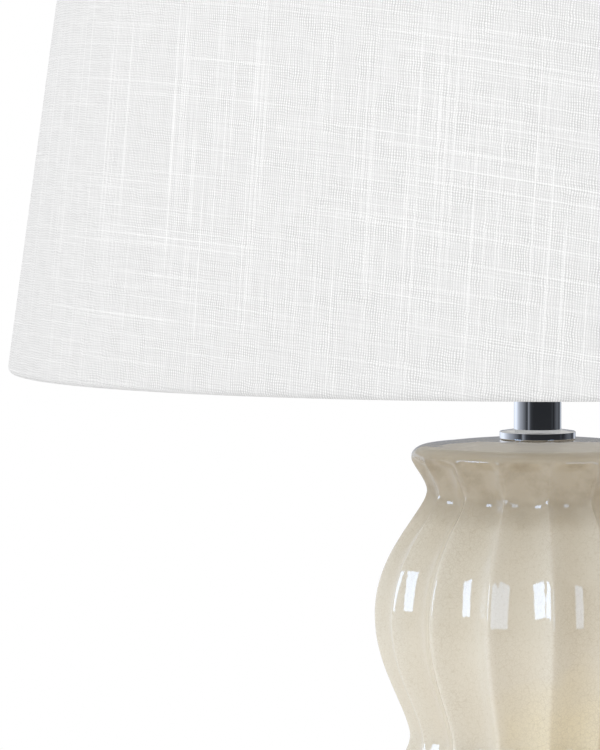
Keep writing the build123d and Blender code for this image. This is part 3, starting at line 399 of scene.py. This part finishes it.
def quarter_round(share):
    return sqrt(1 - (1 - share) ** 2)


def bulb_swell(share):
    return swell(share, BULB_SWELL)


def belly_swell(share):
    return swell(share, BELLY_SWELL)


def shoulder_swell(share):
    return swell(share, SHOULDER_SWELL)


def lip_swell(share):
    return swell(share, LIP_SWELL)


BODY_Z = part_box("ceramic_body")[0].z / MM
STATION_RADII = (FOOT_EDGE, FOOT, ANKLE, LOWER_BULB, WAIST, UPPER_BULB, THROAT, LIP, LIP_EDGE)
STATION_CURVES = (
    quarter_round,
    lip_swell,
    bulb_swell,
    bulb_swell,
    belly_swell,
    shoulder_swell,
    lip_swell,
    quarter_round,
)
STATION_HEIGHTS = [sum(RISES[:count]) for count in range(len(RISES) + 1)]
FOOT_H, THROAT_H = STATION_HEIGHTS[1], STATION_HEIGHTS[-3]
LIP_H, LIP_EDGE_H = STATION_HEIGHTS[-2], STATION_HEIGHTS[-1]


def station_radius(height):
    """Radius on the curves between the stations, at a height above the foot."""
    for index, curve in enumerate(STATION_CURVES):
        low, high = STATION_HEIGHTS[index], STATION_HEIGHTS[index + 1]
        if height <= high:
            below, above = STATION_RADII[index], STATION_RADII[index + 1]
            share = min(1.0, max(0.0, (height - low) / (high - low)))
            if above > below:
                return below + (above - below) * curve(share)
            return above + (below - above) * curve(1 - share)
    return LIP_EDGE


def ridge_radius(height):
    """Radius of the ridges between flutes: the waist and the throat are rounded over a short height."""
    reach = min(HOLLOW_ROUNDING, max(0.0, min(height - FOOT_H, LIP_H - height)))
    shares = [2 * step / ROUNDING_STEPS - 1 for step in range(ROUNDING_STEPS + 1)]
    return sum(station_radius(height + reach * share) for share in shares) / len(shares)


def ease(share):
    share = min(1.0, max(0.0, share))
    return share * share * (3 - 2 * share)


def scoop(share):
    """Quick start and level end, with the start slightly rounded: the arched top of a flute."""
    share = min(1.0, max(0.0, share))
    full = hypot(1, ARCH_ROUNDING) - ARCH_ROUNDING
    rounded = (hypot(share, ARCH_ROUNDING) - ARCH_ROUNDING) / full
    return 1 - (1 - rounded) ** 2


def flute_depth(height):
    """Depth of a flute below its ridges, which runs out towards the foot and the lip."""
    full = ridge_radius(height) * (1 - flute_arc(0))
    return full * ease((height - FOOT_H) / FOOT_RUN_OUT) * scoop((LIP_H + ARCH_RISE - height) / LIP_RUN_OUT)


def flute_step(index):
    """Place of a point across its flute, from ridge (-1) to ridge (1); points are closer near the ridges."""
    even = 2 * (index % STEPS_PER_FLUTE) / STEPS_PER_FLUTE - 1
    return even + RIDGE_CROWDING * sin(pi * even)


def flute_arc(turn):
    """Radius on the arc across a flute, as a share of its ridges' radius, at a turn from its middle."""
    half_pitch, side = pi / FLUTES, radians(FLUTE_SIDE_ANGLE)
    centre = cos(half_pitch) + sin(half_pitch) / tan(side)
    arc = sin(half_pitch) / sin(side)
    return centre * cos(turn) - sqrt(arc**2 - (centre * sin(turn)) ** 2)


def hollow_share(step):
    """Share of a flute's depth at a step across it, from ridge (-1) to ridge (1), with rounded ridges."""
    from_ridge = hypot(1 - abs(step), RIDGE_ROUNDING) - RIDGE_ROUNDING
    rounded = from_ridge / (hypot(1, RIDGE_ROUNDING) - RIDGE_ROUNDING)
    return (1 - flute_arc((1 - rounded) * pi / FLUTES)) / (1 - flute_arc(0))


def body_rows():
    """Heights of the rings of points, closer round the two edges."""
    rows = []
    for index, curve in enumerate(STATION_CURVES):
        low, high = STATION_HEIGHTS[index], STATION_HEIGHTS[index + 1]
        rounded = curve is quarter_round
        spacing = LIP_ROW_SPACING if curve is lip_swell else ROW_SPACING
        count = EDGE_ROWS if rounded else round((high - low) / spacing)
        for step in range(count):
            share = step / count
            if rounded:
                share = 1 - cos(share * pi / 2) if index == 0 else sin(share * pi / 2)
            rows.append(low + (high - low) * share)
    return rows + [LIP_EDGE_H]


def make_ceramic():
    """The glazed body as one closed skin: fluted outside, dome, pipe hole and the recess under the foot."""
    around = FLUTES * STEPS_PER_FLUTE
    rings = []
    for height in body_rows():
        drop = FLUTE_DROP * ease(1 - abs(height - THROAT_H) / FLUTE_DROP_REACH)
        ring = []
        for index in range(around):
            share = hollow_share(flute_step(index))
            source = height + drop * (1 - flute_step(index) ** FLUTE_DROP_FLATNESS)
            ring.append((ridge_radius(source) - flute_depth(height) * share, BODY_Z + height, share))
        rings.append(ring)
    for row in range(1, DOME_ROWS + 1):
        share = row / DOME_ROWS
        radius = LIP_EDGE + (PIPE_HOLE - LIP_EDGE) * share
        up = min(1.0, (LIP_EDGE - radius) / (LIP_EDGE - SEAT_RADIUS))
        height = LIP_EDGE_H + DOME_RISE * sin(up * pi / 2)
        rings.append([(radius, BODY_Z + height, 0.0)] * around)
    for radius, height in ((PIPE_HOLE, RECESS_DEPTH), (RECESS_RADIUS, RECESS_DEPTH), (RECESS_RADIUS, 0.0)):
        rings.append([(radius, BODY_Z + height, 0.0)] * around)
    vertices, hollows = [], []
    for ring in rings:
        for index, (radius, height, share) in enumerate(ring):
            flute = index // STEPS_PER_FLUTE + flute_step(index) / 2
            angle = -pi / 2 + 2 * pi * flute / FLUTES
            vertices.append((radius * cos(angle) * MM, radius * sin(angle) * MM, height * MM))
            hollows.append(share)
    faces = []
    for row in range(len(rings)):
        faces += band(row * around, (row + 1) % len(rings) * around, around)
    piece = new_mesh("ceramic_shell", vertices, faces, attributes={"hollow": hollows})
    low, high = (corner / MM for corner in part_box("cord_grommet"))
    middle, seat = (0, 0, (low.z + high.z) / 2), high.y - GROMMET_FLANGE
    flange = (high.x - low.x) / 2 + FIT
    bore = GROMMET_WALL_RADIUS + FIT
    profile = [(bore, RECESS_RADIUS - HOLE_INWARD_REACH), (bore, seat)]
    profile += [(flange, seat), (flange, FOOT + HOLE_OUTWARD_REACH)]
    cut(piece, [lathe("cord_hole", profile, HOLE_SEGMENTS, tilt=90.0, turn=90.0, shift=middle)])
    piece.data.set_sharp_from_angle(angle=radians(SHARP_EDGE))
    return piece


def heights_above(station, offsets):
    """Heights in metres at offsets in mm from a station of the body."""
    return [(BODY_Z + station + offset) * MM for offset in offsets]


def glaze():
    """Cream crackle glaze: thin on the ridges; under the lip pooled brown with painted shade; painted shade
    on the lip's top and dome; a painted warm reflection by the waist.
    """
    shader = Shader("cream_crackle_glaze", Roughness=0.05, IOR=1.5)
    place = shader.place()
    hollow = shader.node("Attribute", attribute_name="hollow").outputs["Fac"]
    height = shader.node("SeparateXYZ", {"Vector": place}).outputs["Z"]
    cloud = shader.noise(place, CLOUD_SCALE, 4.0, 0.6)
    pooled = shader.math("ADD", shader.math("MULTIPLY", hollow, 0.5), shader.math("MULTIPLY", cloud, 0.6))
    base = shader.ramp(pooled, GLAZE_TONES)
    blotches = shader.remap(shader.noise(place, BLOTCH_SCALE, 3.0, 0.6), 0.40, 0.66)
    rising = shader.remap(height, *heights_above(THROAT_H, POOL_AND_SHADE_RISE))
    fading = shader.remap(height, *heights_above(LIP_H, POOL_AND_SHADE_FADE), 1.0, 0.0)
    under_lip = shader.math("MULTIPLY", rising, fading)
    # Under the lip: pooled brown glaze, darkened further as painted shade from the lip and the lampshade
    # above
    pooled_and_shaded = shader.math("MULTIPLY", under_lip, shader.math("MULTIPLY_ADD", blotches, 0.36, 0.60))
    base = shader.mix(pooled_and_shaded, base, POOL_AND_SHADE_TONE)
    # Painted shade: the lip's top and the dome face up into the lampshade's dim inside and are darkened and
    # greyed
    painted_top_shade = shader.remap(height, *heights_above(LIP_H, TOP_SHADE_BLEND), 0.0, 0.85)
    base = shader.mix(painted_top_shade, base, TOP_SHADE_TONE)
    # Painted reflection: a warm yellowish glow by the waist, as from a warm surface nearby
    warm_reflection_spot = shader.node("VectorMath", {0: place}, operation="DISTANCE", inputs={1: WARM_REFLECTION_CENTRE})
    edge = shader.noise(place, WARM_REFLECTION_EDGE_SCALE, 2.0)
    reach = shader.math("MULTIPLY_ADD", edge, WARM_REFLECTION_RAGGEDNESS, warm_reflection_spot.outputs["Value"])
    painted_warm_reflection = shader.remap(reach, *WARM_REFLECTION_REACH, 0.48, 0.0)
    base = shader.mix(painted_warm_reflection, base, WARM_REFLECTION_TONE)
    bend = shader.node("TexNoise", {"Vector": place}, inputs={"Scale": CRACK_BEND_SCALE}).outputs["Color"]
    bend = shader.node("VectorMath", {0: bend}, operation="SCALE", inputs={"Scale": CRACK_BEND}).outputs[0]
    moved = shader.node("VectorMath", {0: place, 1: bend}, operation="ADD").outputs[0]
    cracks = []
    for scale, width in CRACKLE_NETS:
        cells = shader.node("TexVoronoi", {"Vector": moved}, feature="DISTANCE_TO_EDGE")
        cells.inputs["Scale"].default_value = scale
        cracks.append(shader.remap(cells.outputs["Distance"], 0.0, width, 1.0, 0.0))
    net = shader.math("MAXIMUM", cracks[0], shader.math("MULTIPLY", cracks[1], 0.7))
    patches = shader.remap(shader.noise(place, CRACK_PATCH_SCALE), 0.36, 0.66, 0.10, 0.50)
    patchy = shader.math("MULTIPLY", net, patches)
    cracked = shader.mix(patchy, base, CRACK_TONE)
    grains = shader.remap(shader.noise(place, GRAIN_SCALE, 2.0), 0.56, 0.72)
    shader.colour(shader.mix(shader.math("MULTIPLY", grains, 0.30), cracked, GRAIN_TONE))
    shader.bump(shader.noise(place, WAVE_SCALE, 2.0), WAVE_HEIGHT, 0.9)
    return shader


# Shade

SHADE_BOTTOM_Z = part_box("shade_fabric")[0].z / MM
SLOPE = atan2(SHADE_BOTTOM_RADIUS - SHADE_TOP_RADIUS, SHADE_HEIGHT)
ROLL_REACH = ROLL_RADIUS + LINEN_THICKNESS / 2
BOTTOM_RING = (ROLL_REACH + sin(SLOPE) * ROLL_REACH) / cos(SLOPE)
TOP_RING = (SHADE_HEIGHT - ROLL_REACH + sin(SLOPE) * ROLL_REACH) / cos(SLOPE)
APEX_DISTANCE = SHADE_BOTTOM_RADIUS / sin(SLOPE)


def on_wall(along, inward):
    """Radius and height of a point in the wall's frame: along runs up the slope, inward is square to it."""
    start = LINEN_THICKNESS / 2 + inward
    radius = SHADE_BOTTOM_RADIUS - sin(SLOPE) * along - cos(SLOPE) * start
    height = SHADE_BOTTOM_Z + cos(SLOPE) * along - sin(SLOPE) * start
    return radius, height


def linen_path():
    """Middle line of the linen in the wall's frame, from the bottom hem's edge over the wall to the top's."""
    roll = ROLL_RADIUS
    path = []
    for ring, away in ((BOTTOM_RING, 1), (TOP_RING, -1)):
        hem = [(ring + away * HEM_DEPTH * share, HEM_IN) for share in HEM_SHARES]
        hem += [(ring + away * reach, HEM_IN + rise) for reach, rise in HEM_TUCK]
        hem += [(ring + away * reach, 2 * roll - fall) for reach, fall in HEM_CROWN]
        turns = [pi * step / ROLL_STEPS for step in range(ROLL_STEPS + 1)]
        path.append(hem + [(ring - away * roll * sin(turn), roll + roll * cos(turn)) for turn in turns])
    row_height = (TOP_RING - BOTTOM_RING) / WALL_ROWS
    wall = [(BOTTOM_RING + row_height * row, 0.0) for row in range(1, WALL_ROWS)]
    return path[0] + wall + path[1][::-1]


def offset_path(path, distance):
    """The path moved sideways by a distance, to the left of its own direction."""
    moved = []
    for index, (along, inward) in enumerate(path):
        before = path[max(0, index - 1)]
        after = path[min(len(path) - 1, index + 1)]
        run = hypot(after[0] - before[0], after[1] - before[1])
        moved.append(
            (
                along + distance * (after[1] - before[1]) / run,
                inward - distance * (after[0] - before[0]) / run,
            )
        )
    return moved


def make_linen():
    """The shade's linen: outer wall, hems rolled round both rings and the lapped seam at the back."""
    path = linen_path()
    lengths = [0.0]
    for (a, b), (c, d) in zip(path, path[1:]):
        lengths.append(lengths[-1] + hypot(c - a, d - b))
    first_row = (BOTTOM_RING + (TOP_RING - BOTTOM_RING) / WALL_ROWS, 0.0)
    wall_shift = first_row[0] - lengths[path.index(first_row)]
    half = LINEN_THICKNESS / 2
    outer, inner = offset_path(path, half), offset_path(path, -half)
    section = list(zip(outer, lengths)) + list(zip(inner[::-1], lengths[::-1]))
    on_outside = [abs(inward) < 1e-9 for along, inward in path] + [False] * len(path)
    seam_half = SEAM_WIDTH / SHADE_BOTTOM_RADIUS / 2
    angles = [pi / 2 + 2 * pi * (index + 0.5) / SHADE_SEGMENTS for index in range(SHADE_SEGMENTS)]
    for side in (-1, 1):
        edge = pi / 2 + side * seam_half + (2 * pi if side < 0 else 0)
        angles += [edge - SEAM_EDGE_TURN, edge + SEAM_EDGE_TURN]
    angles.sort()
    vertices, uvs = [], []
    for angle in angles:
        from_seam = min(abs(angle - pi / 2), abs(angle - 5 * pi / 2))
        lapped = from_seam < seam_half
        for (point, length), outside in zip(section, on_outside):
            along, inward = point
            lift = SEAM_LIFT if lapped and outside else 0.0
            radius, height = on_wall(along, inward - lift)
            vertices.append((radius * cos(angle) * MM, radius * sin(angle) * MM, height * MM))
            slant = (APEX_DISTANCE - (length + wall_shift)) * MM
            turn = (angle - 3 * pi / 2 - radians(GRAIN_AZIMUTH)) * sin(SLOPE)
            across = slant * sin(turn)
            uvs.append((across, APEX_DISTANCE * MM - slant * cos(turn) + WEFT_SKEW * across))
    count = len(section)
    faces = []
    for column in range(len(angles)):
        faces += band(column * count, (column + 1) % len(angles) * count, count)
    piece = new_mesh("linen_shade", vertices, faces, uvs)
    ring_radius, ring_height = on_wall(TOP_RING, ROLL_RADIUS)
    profile = [(SPIDER_SLIT_RADIUS, ring_radius - HEM_DEPTH), (SPIDER_SLIT_RADIUS, ring_radius)]
    slits = [
        lathe(f"slit_{turn:.0f}", profile, SLIT_SEGMENTS, tilt=90.0, turn=turn, shift=(0, 0, ring_height))
        for turn in SPIDER_ANGLES
    ]
    cut(piece, slits)
    piece.data.set_sharp_from_angle(angle=radians(SHARP_EDGE))
    return piece, lengths[-1]


def linen():
    """White slub linen: a plain weave of uneven threads, with thick slubs both ways."""
    shader = Shader("white_slub_linen", Roughness=0.92, Sheen_Weight=0.10, Sheen_Roughness=0.6)
    cloth = shader.place(source="UV")
    split = shader.node("SeparateXYZ", {"Vector": cloth})
    drift = shader.node("TexNoise", {"Vector": cloth}, inputs={"Scale": DRIFT_SCALE, "Detail": 2.0})
    drift_split = shader.node("SeparateXYZ", {"Vector": drift.outputs["Color"]})
    ribs, uneven, slubs = [], [], []
    for axis, slub_low in SLUB_LEVELS:
        moved = shader.math("MULTIPLY_ADD", drift_split.outputs[axis], THREAD_DRIFT, split.outputs[axis])
        wave = shader.math("SINE", shader.math("MULTIPLY", moved, 2 * pi / THREAD_PITCH))
        ribs.append(shader.math("MULTIPLY_ADD", wave, 0.5, 0.5))
        for found, (across, along), low, high in (
            (uneven, THREAD_STREAKS, 0.30, 0.70),
            (slubs, SLUB_STREAKS, slub_low, slub_low + SLUB_RISE),
        ):
            stretch = (across, along, 1.0) if axis == "X" else (along, across, 1.0)
            streak = shader.noise(shader.place(stretch, "UV"), 1.0, 1.0, 0.5)
            found.append(shader.remap(streak, low, high))
    crossing = shader.math("MULTIPLY", ribs[0], ribs[1])
    weave = shader.math("MULTIPLY_ADD", ribs[0], 0.3, shader.math("MULTIPLY", crossing, 0.7))
    patches = shader.remap(shader.noise(cloth, PATCH_SCALE, 1.0), 0.38, 0.62, 0.45, 1.0)
    weave = shader.math("MULTIPLY", shader.math("SUBTRACT", weave, WEAVE_MEAN), patches)
    threads = shader.math("ADD", uneven[0], uneven[1])
    slub = shader.math("MAXIMUM", slubs[0], slubs[1])
    height = shader.math("MULTIPLY_ADD", weave, 0.7, shader.math("MULTIPLY", threads, 0.3))
    height = shader.math("MULTIPLY_ADD", slub, 0.5, height)
    tone = shader.math("MULTIPLY_ADD", weave, WEAVE_CONTRAST, LINEN_TONE)
    tone = shader.math("MULTIPLY_ADD", threads, THREAD_CONTRAST, tone)
    tone = shader.math("MULTIPLY_ADD", slub, SLUB_CONTRAST, tone)
    shader.colour(shader.ramp(tone, LINEN_GREYS))
    shader.bump(height, WEAVE_HEIGHT, 0.6)
    return shader


def backing():
    """The shade's white backing sheet, with a faint grain."""
    shader = Shader("white_backing", Roughness=0.55, Specular_IOR_Level=0.35)
    place = shader.place()
    grain = shader.noise(place, 700.0, 3.0)
    shader.colour(shader.ramp(grain, [(0.3, (0.84, 0.84, 0.83)), (0.7, (0.90, 0.90, 0.89))]))
    shader.bump(grain, 0.0001, 0.3)
    return shader


def felt():
    """Charcoal felt with short matted fibres."""
    shader = Shader("charcoal_felt", Roughness=1.0, Sheen_Weight=0.5)
    place = shader.place()
    fibres = shader.noise(place, 1500.0, 5.0, 0.7)
    shader.colour(shader.ramp(fibres, [(0.3, (0.012, 0.012, 0.012)), (0.7, (0.055, 0.052, 0.05))]))
    shader.bump(fibres, 0.0006, 0.8)
    return shader


def make_felt():
    """The felt disc under the foot: flat below, with a soft, slightly uneven cut edge."""
    low, high = (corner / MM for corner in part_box("felt_pad"))
    radius, thickness = (high.x - low.x) / 2, high.z - low.z
    rings = [(radius * step / FELT_RINGS, 0.0) for step in range(1, FELT_RINGS)]
    rings += [(radius - inset, thickness * share) for inset, share in FELT_EDGE]
    rings += [(radius * step / FELT_RINGS, thickness) for step in range(FELT_RINGS - 1, 0, -1)]
    vertices, faces = [(0, 0, low.z * MM), (0, 0, high.z * MM)], []
    for reach, height in rings:
        for step in range(FELT_STEPS):
            angle = 2 * pi * step / FELT_STEPS
            fine, coarse = (waves * angle for waves in FELT_RAG_WAVES)
            ragged = FELT_RAGGED * (sin(fine) * sin(coarse + 1.0) - 1)
            span = (reach + ragged * reach / radius) * MM
            vertices.append((span * cos(angle), span * sin(angle), (low.z + height) * MM))
    starts = [2 + row * FELT_STEPS for row in range(len(rings))]
    for step in range(FELT_STEPS):
        beside = (step + 1) % FELT_STEPS
        faces.append((0, starts[0] + beside, starts[0] + step))
        faces.append((1, starts[-1] + step, starts[-1] + beside))
    for below, above in zip(starts, starts[1:]):
        faces += band(below, above, FELT_STEPS)
    piece = new_mesh("felt_disc", vertices, faces)
    piece.data.set_sharp_from_angle(angle=radians(FELT_SHARP_EDGE))
    return piece, radius


def metal(name, colour, roughness, spread, scale, bump=0.0):
    """A metal whose roughness and tone vary with a noise."""
    shader = Shader(name, Metallic=1.0)
    marks = shader.noise(shader.place(), scale, 4.0)
    darker = tuple(channel * 0.93 for channel in colour)
    shader.colour(shader.ramp(marks, [(0.3, darker), (0.7, colour)]))
    shader.roughness(shader.remap(marks, 0.3, 0.7, roughness, roughness + spread))
    if bump:
        shader.bump(marks, bump, 0.3)
    return shader


def plastic(name, colour, roughness, scale, bump):
    """A moulded plastic with a fine grain."""
    shader = Shader(name)
    grain = shader.noise(shader.place(), scale, 3.0)
    paler = tuple(min(1.0, channel * 1.12 + 0.004) for channel in colour)
    shader.colour(shader.ramp(grain, [(0.3, colour), (0.7, paler)]))
    shader.roughness(shader.remap(grain, 0.3, 0.7, roughness, roughness + 0.08))
    shader.bump(grain, bump, 0.3)
    return shader


CHROME = metal("polished_chrome", (0.86, 0.87, 0.89), 0.02, 0.05, 60.0)
NICKEL = metal("satin_nickel", (0.72, 0.70, 0.66), 0.22, 0.12, 700.0, bump=0.00003)
ZINC = metal("zinc_plate", (0.62, 0.62, 0.60), 0.32, 0.15, 300.0, bump=0.00005)
BRASS = metal("brass", (0.80, 0.62, 0.32), 0.20, 0.12, 300.0)
ALUMINIUM = metal("bulb_aluminium", (0.80, 0.80, 0.80), 0.25, 0.12, 400.0)
RUBBER = plastic("black_rubber", (0.018, 0.018, 0.018), 0.62, 900.0, 0.00008)
PHENOLIC = plastic("phenolic", (0.025, 0.02, 0.018), 0.35, 600.0, 0.00003)
KNOB = plastic("black_knob", (0.014, 0.014, 0.014), 0.38, 1200.0, 0.00004)
BOARD = plastic("fibre_board", (0.20, 0.13, 0.08), 0.85, 800.0, 0.0001)
DIFFUSER = plastic("frosted_diffuser", (0.82, 0.82, 0.79), 0.30, 500.0, 0.00002)
HOUSING = plastic("white_housing", (0.78, 0.78, 0.77), 0.40, 900.0, 0.00003)
WIRE_COAT = plastic("white_wire_coat", (0.80, 0.80, 0.79), 0.45, 900.0, 0.00003)

SLOT_SHADERS = {
    "grommet": RUBBER,
    "zinc_steel": ZINC,
    "polished": CHROME,
    "nickel": NICKEL,
    "insulating_board": BOARD,
    "phenolic": PHENOLIC,
    "brass": BRASS,
    "knob": KNOB,
    "bulb_diffuser": DIFFUSER,
    "bulb_housing": HOUSING,
    "bulb_base": ALUMINIUM,
    "white_wire": WIRE_COAT,
    "backing": backing(),
}
for subpart in frame["record"]["subparts"]:
    if subpart["material_slot"] in SLOT_SHADERS:
        dress(NODES[subpart["node"]], SLOT_SHADERS[subpart["material_slot"]])

ceramic = make_ceramic()
dress(ceramic, glaze())
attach(ceramic, "base")
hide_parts("ceramic_body")

felt_disc, felt_radius = make_felt()
dress(felt_disc, felt())
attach(felt_disc, "base")
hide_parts("felt_pad")

shade, linen_length = make_linen()
dress(shade, linen())
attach(shade, "shade")
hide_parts("shade_fabric")


# Floor, light and camera


def make_floor():
    """A pale floor: it shows the lamp's shadow near the foot and fades away further out."""
    mesh = bpy.data.meshes.new("floor")
    turns = [2 * pi * step / FLOOR_STEPS for step in range(FLOOR_STEPS)]
    rim = [(FLOOR_RADIUS * cos(turn), FLOOR_RADIUS * sin(turn), FLOOR_Z) for turn in turns]
    mesh.from_pydata(rim, [], [tuple(range(FLOOR_STEPS))])
    floor = bpy.data.objects.new("floor", mesh)
    bpy.context.scene.collection.objects.link(floor)
    shader = Shader("pale_floor", Base_Color=(0.90, 0.90, 0.90, 1), Roughness=0.9, Specular_IOR_Level=0.1)
    place = shader.place()
    distance = shader.node("VectorMath", {0: place}, operation="LENGTH").outputs["Value"]
    path = shader.node("LightPath")
    seen = shader.math("MAXIMUM", path.outputs["Is Camera Ray"], path.outputs["Is Transmission Ray"])
    far = shader.remap(distance, *FLOOR_MIRROR_FADE)
    mirrored = shader.math("MULTIPLY", path.outputs["Is Glossy Ray"], far)
    mirrored = shader.math("MAXIMUM", mirrored, shader.node("NewGeometry").outputs["Backfacing"])
    white = shader.node("Emission").outputs[0]
    clear = shader.node("BsdfTransparent").outputs[0]
    cut_off = shader.math("MULTIPLY", seen, shader.remap(distance, *FLOOR_FADE))
    blend = shader.node("MixShader", {0: cut_off, 1: shader.surface.outputs[0], 2: white}).outputs[0]
    blend = shader.node("MixShader", {0: mirrored, 1: blend, 2: clear}).outputs[0]
    shader.tree.links.new(blend, shader.tree.nodes["Material Output"].inputs["Surface"])
    mesh.materials.append(shader.material)


def make_world():
    """White to the camera, an even fill light, and in reflections a dark front with bright sides behind."""
    world = bpy.data.worlds.new("studio")
    bpy.context.scene.world = world
    world.use_nodes = True
    nodes = Nodes(world.node_tree)
    path = nodes.node("LightPath").outputs
    direction = nodes.node("SeparateXYZ", {0: nodes.node("TexCoord").outputs["Generated"]}).outputs
    azimuth = nodes.math("ARCTAN2", direction["X"], nodes.math("MULTIPLY", direction["Y"], -1.0))
    stops = [(0.5 + angle / 360, [level * tint for tint in MIRROR_TINT]) for angle, level in MIRRORED]
    studio = nodes.ramp(nodes.math("MULTIPLY_ADD", azimuth, 0.5 / pi, 0.5), stops)
    white = nodes.node("Background", inputs={"Color": (1, 1, 1, 1), "Strength": 1.0}).outputs[0]
    fill = nodes.node("Background", inputs={"Color": (1, 1, 1, 1), "Strength": FILL}).outputs[0]
    mirrored = nodes.node("Background", {"Color": studio}, inputs={"Strength": 1.0}).outputs[0]
    seen = nodes.math("MAXIMUM", path["Is Camera Ray"], path["Is Transmission Ray"])
    light = nodes.node("MixShader", {0: path["Is Glossy Ray"], 1: fill, 2: mirrored}).outputs[0]
    light = nodes.node("MixShader", {0: seen, 1: light, 2: white}).outputs[0]
    nodes.tree.links.new(light, nodes.tree.nodes["World Output"].inputs["Surface"])


def aim(light, azimuth, elevation, distance):
    """Hang a light at an azimuth from the front (right is positive), facing the lamp."""
    turn, rise = radians(azimuth), radians(elevation)
    direction = Vector((sin(turn) * cos(rise), -cos(turn) * cos(rise), sin(rise)))
    light.location = Vector((0, 0, LIGHT_TARGET)) + direction * distance
    light.rotation_euler = direction.to_track_quat("Z", "Y").to_euler()
    light.visible_camera = False
    bpy.context.scene.collection.objects.link(light)


def softbox(name, azimuth, elevation, size, radiance, receivers):
    """A soft panel that only reflections see, on the given pieces."""
    data = bpy.data.lights.new(name, "AREA")
    data.shape = "RECTANGLE"
    data.size, data.size_y = size
    data.energy = radiance * pi * size[0] * size[1]
    data.color = PANEL_COLOUR
    panel = bpy.data.objects.new(name, data)
    aim(panel, azimuth, elevation, LIGHT_DISTANCE)
    panel.visible_diffuse = False
    panel.light_linking.receiver_collection = receivers


def soft_light(name, azimuth, elevation, distance, size, power, colour, receivers):
    """A wide soft light without a reflection of its own, on the given pieces."""
    data = bpy.data.lights.new(name, "AREA")
    data.shape = "DISK"
    data.size = size
    data.energy = power
    data.color = colour
    lamp = bpy.data.objects.new(name, data)
    aim(lamp, azimuth, elevation, distance)
    lamp.visible_glossy = False
    lamp.light_linking.receiver_collection = receivers


def make_camera():
    """The photograph's camera."""
    data = bpy.data.cameras.new("camera")
    data.sensor_width = SENSOR
    data.lens = FOCAL_PIXELS / IMAGE_LONG_SIDE * SENSOR
    camera = bpy.data.objects.new("camera", data)
    turn = radians(CAMERA_AZIMUTH)
    camera.location = (CAMERA_DISTANCE * sin(turn), -CAMERA_DISTANCE * cos(turn), CAMERA_HEIGHT)
    camera.rotation_euler = (radians(90 - CAMERA_PITCH), 0, turn + radians(CAMERA_PAN))
    bpy.context.scene.collection.objects.link(camera)
    bpy.context.scene.camera = camera


make_floor()
make_world()
glazed = bpy.data.collections.new("glazed")
unglazed = bpy.data.collections.new("unglazed")
for piece in list(bpy.context.scene.objects):
    if piece.type == "MESH":
        group = glazed if piece == ceramic else unglazed
        group.objects.link(piece)
softbox("left_panel", azimuth=-54.0, elevation=24.0, size=(1.06, 2.10), radiance=12.0, receivers=glazed)
softbox("right_panel", azimuth=44.0, elevation=16.0, size=(1.00, 2.00), radiance=5.5, receivers=glazed)
for name, azimuth, elevation, distance, size, power, colour, receivers in (
    ("key_light", -46.0, 20.0, LIGHT_DISTANCE, 1.2, 19.5, KEY_COLOUR, glazed),
    ("left_light", -60.0, 32.0, NEAR_DISTANCE, 1.0, 3.5, WHITE, unglazed),
    ("right_light", 35.0, 32.0, NEAR_DISTANCE, 1.0, 3.2, WHITE, unglazed),
):
    soft_light(name, azimuth, elevation, distance, size, power, colour, receivers)
make_camera()
bpy.context.scene.view_settings.view_transform = "Standard"
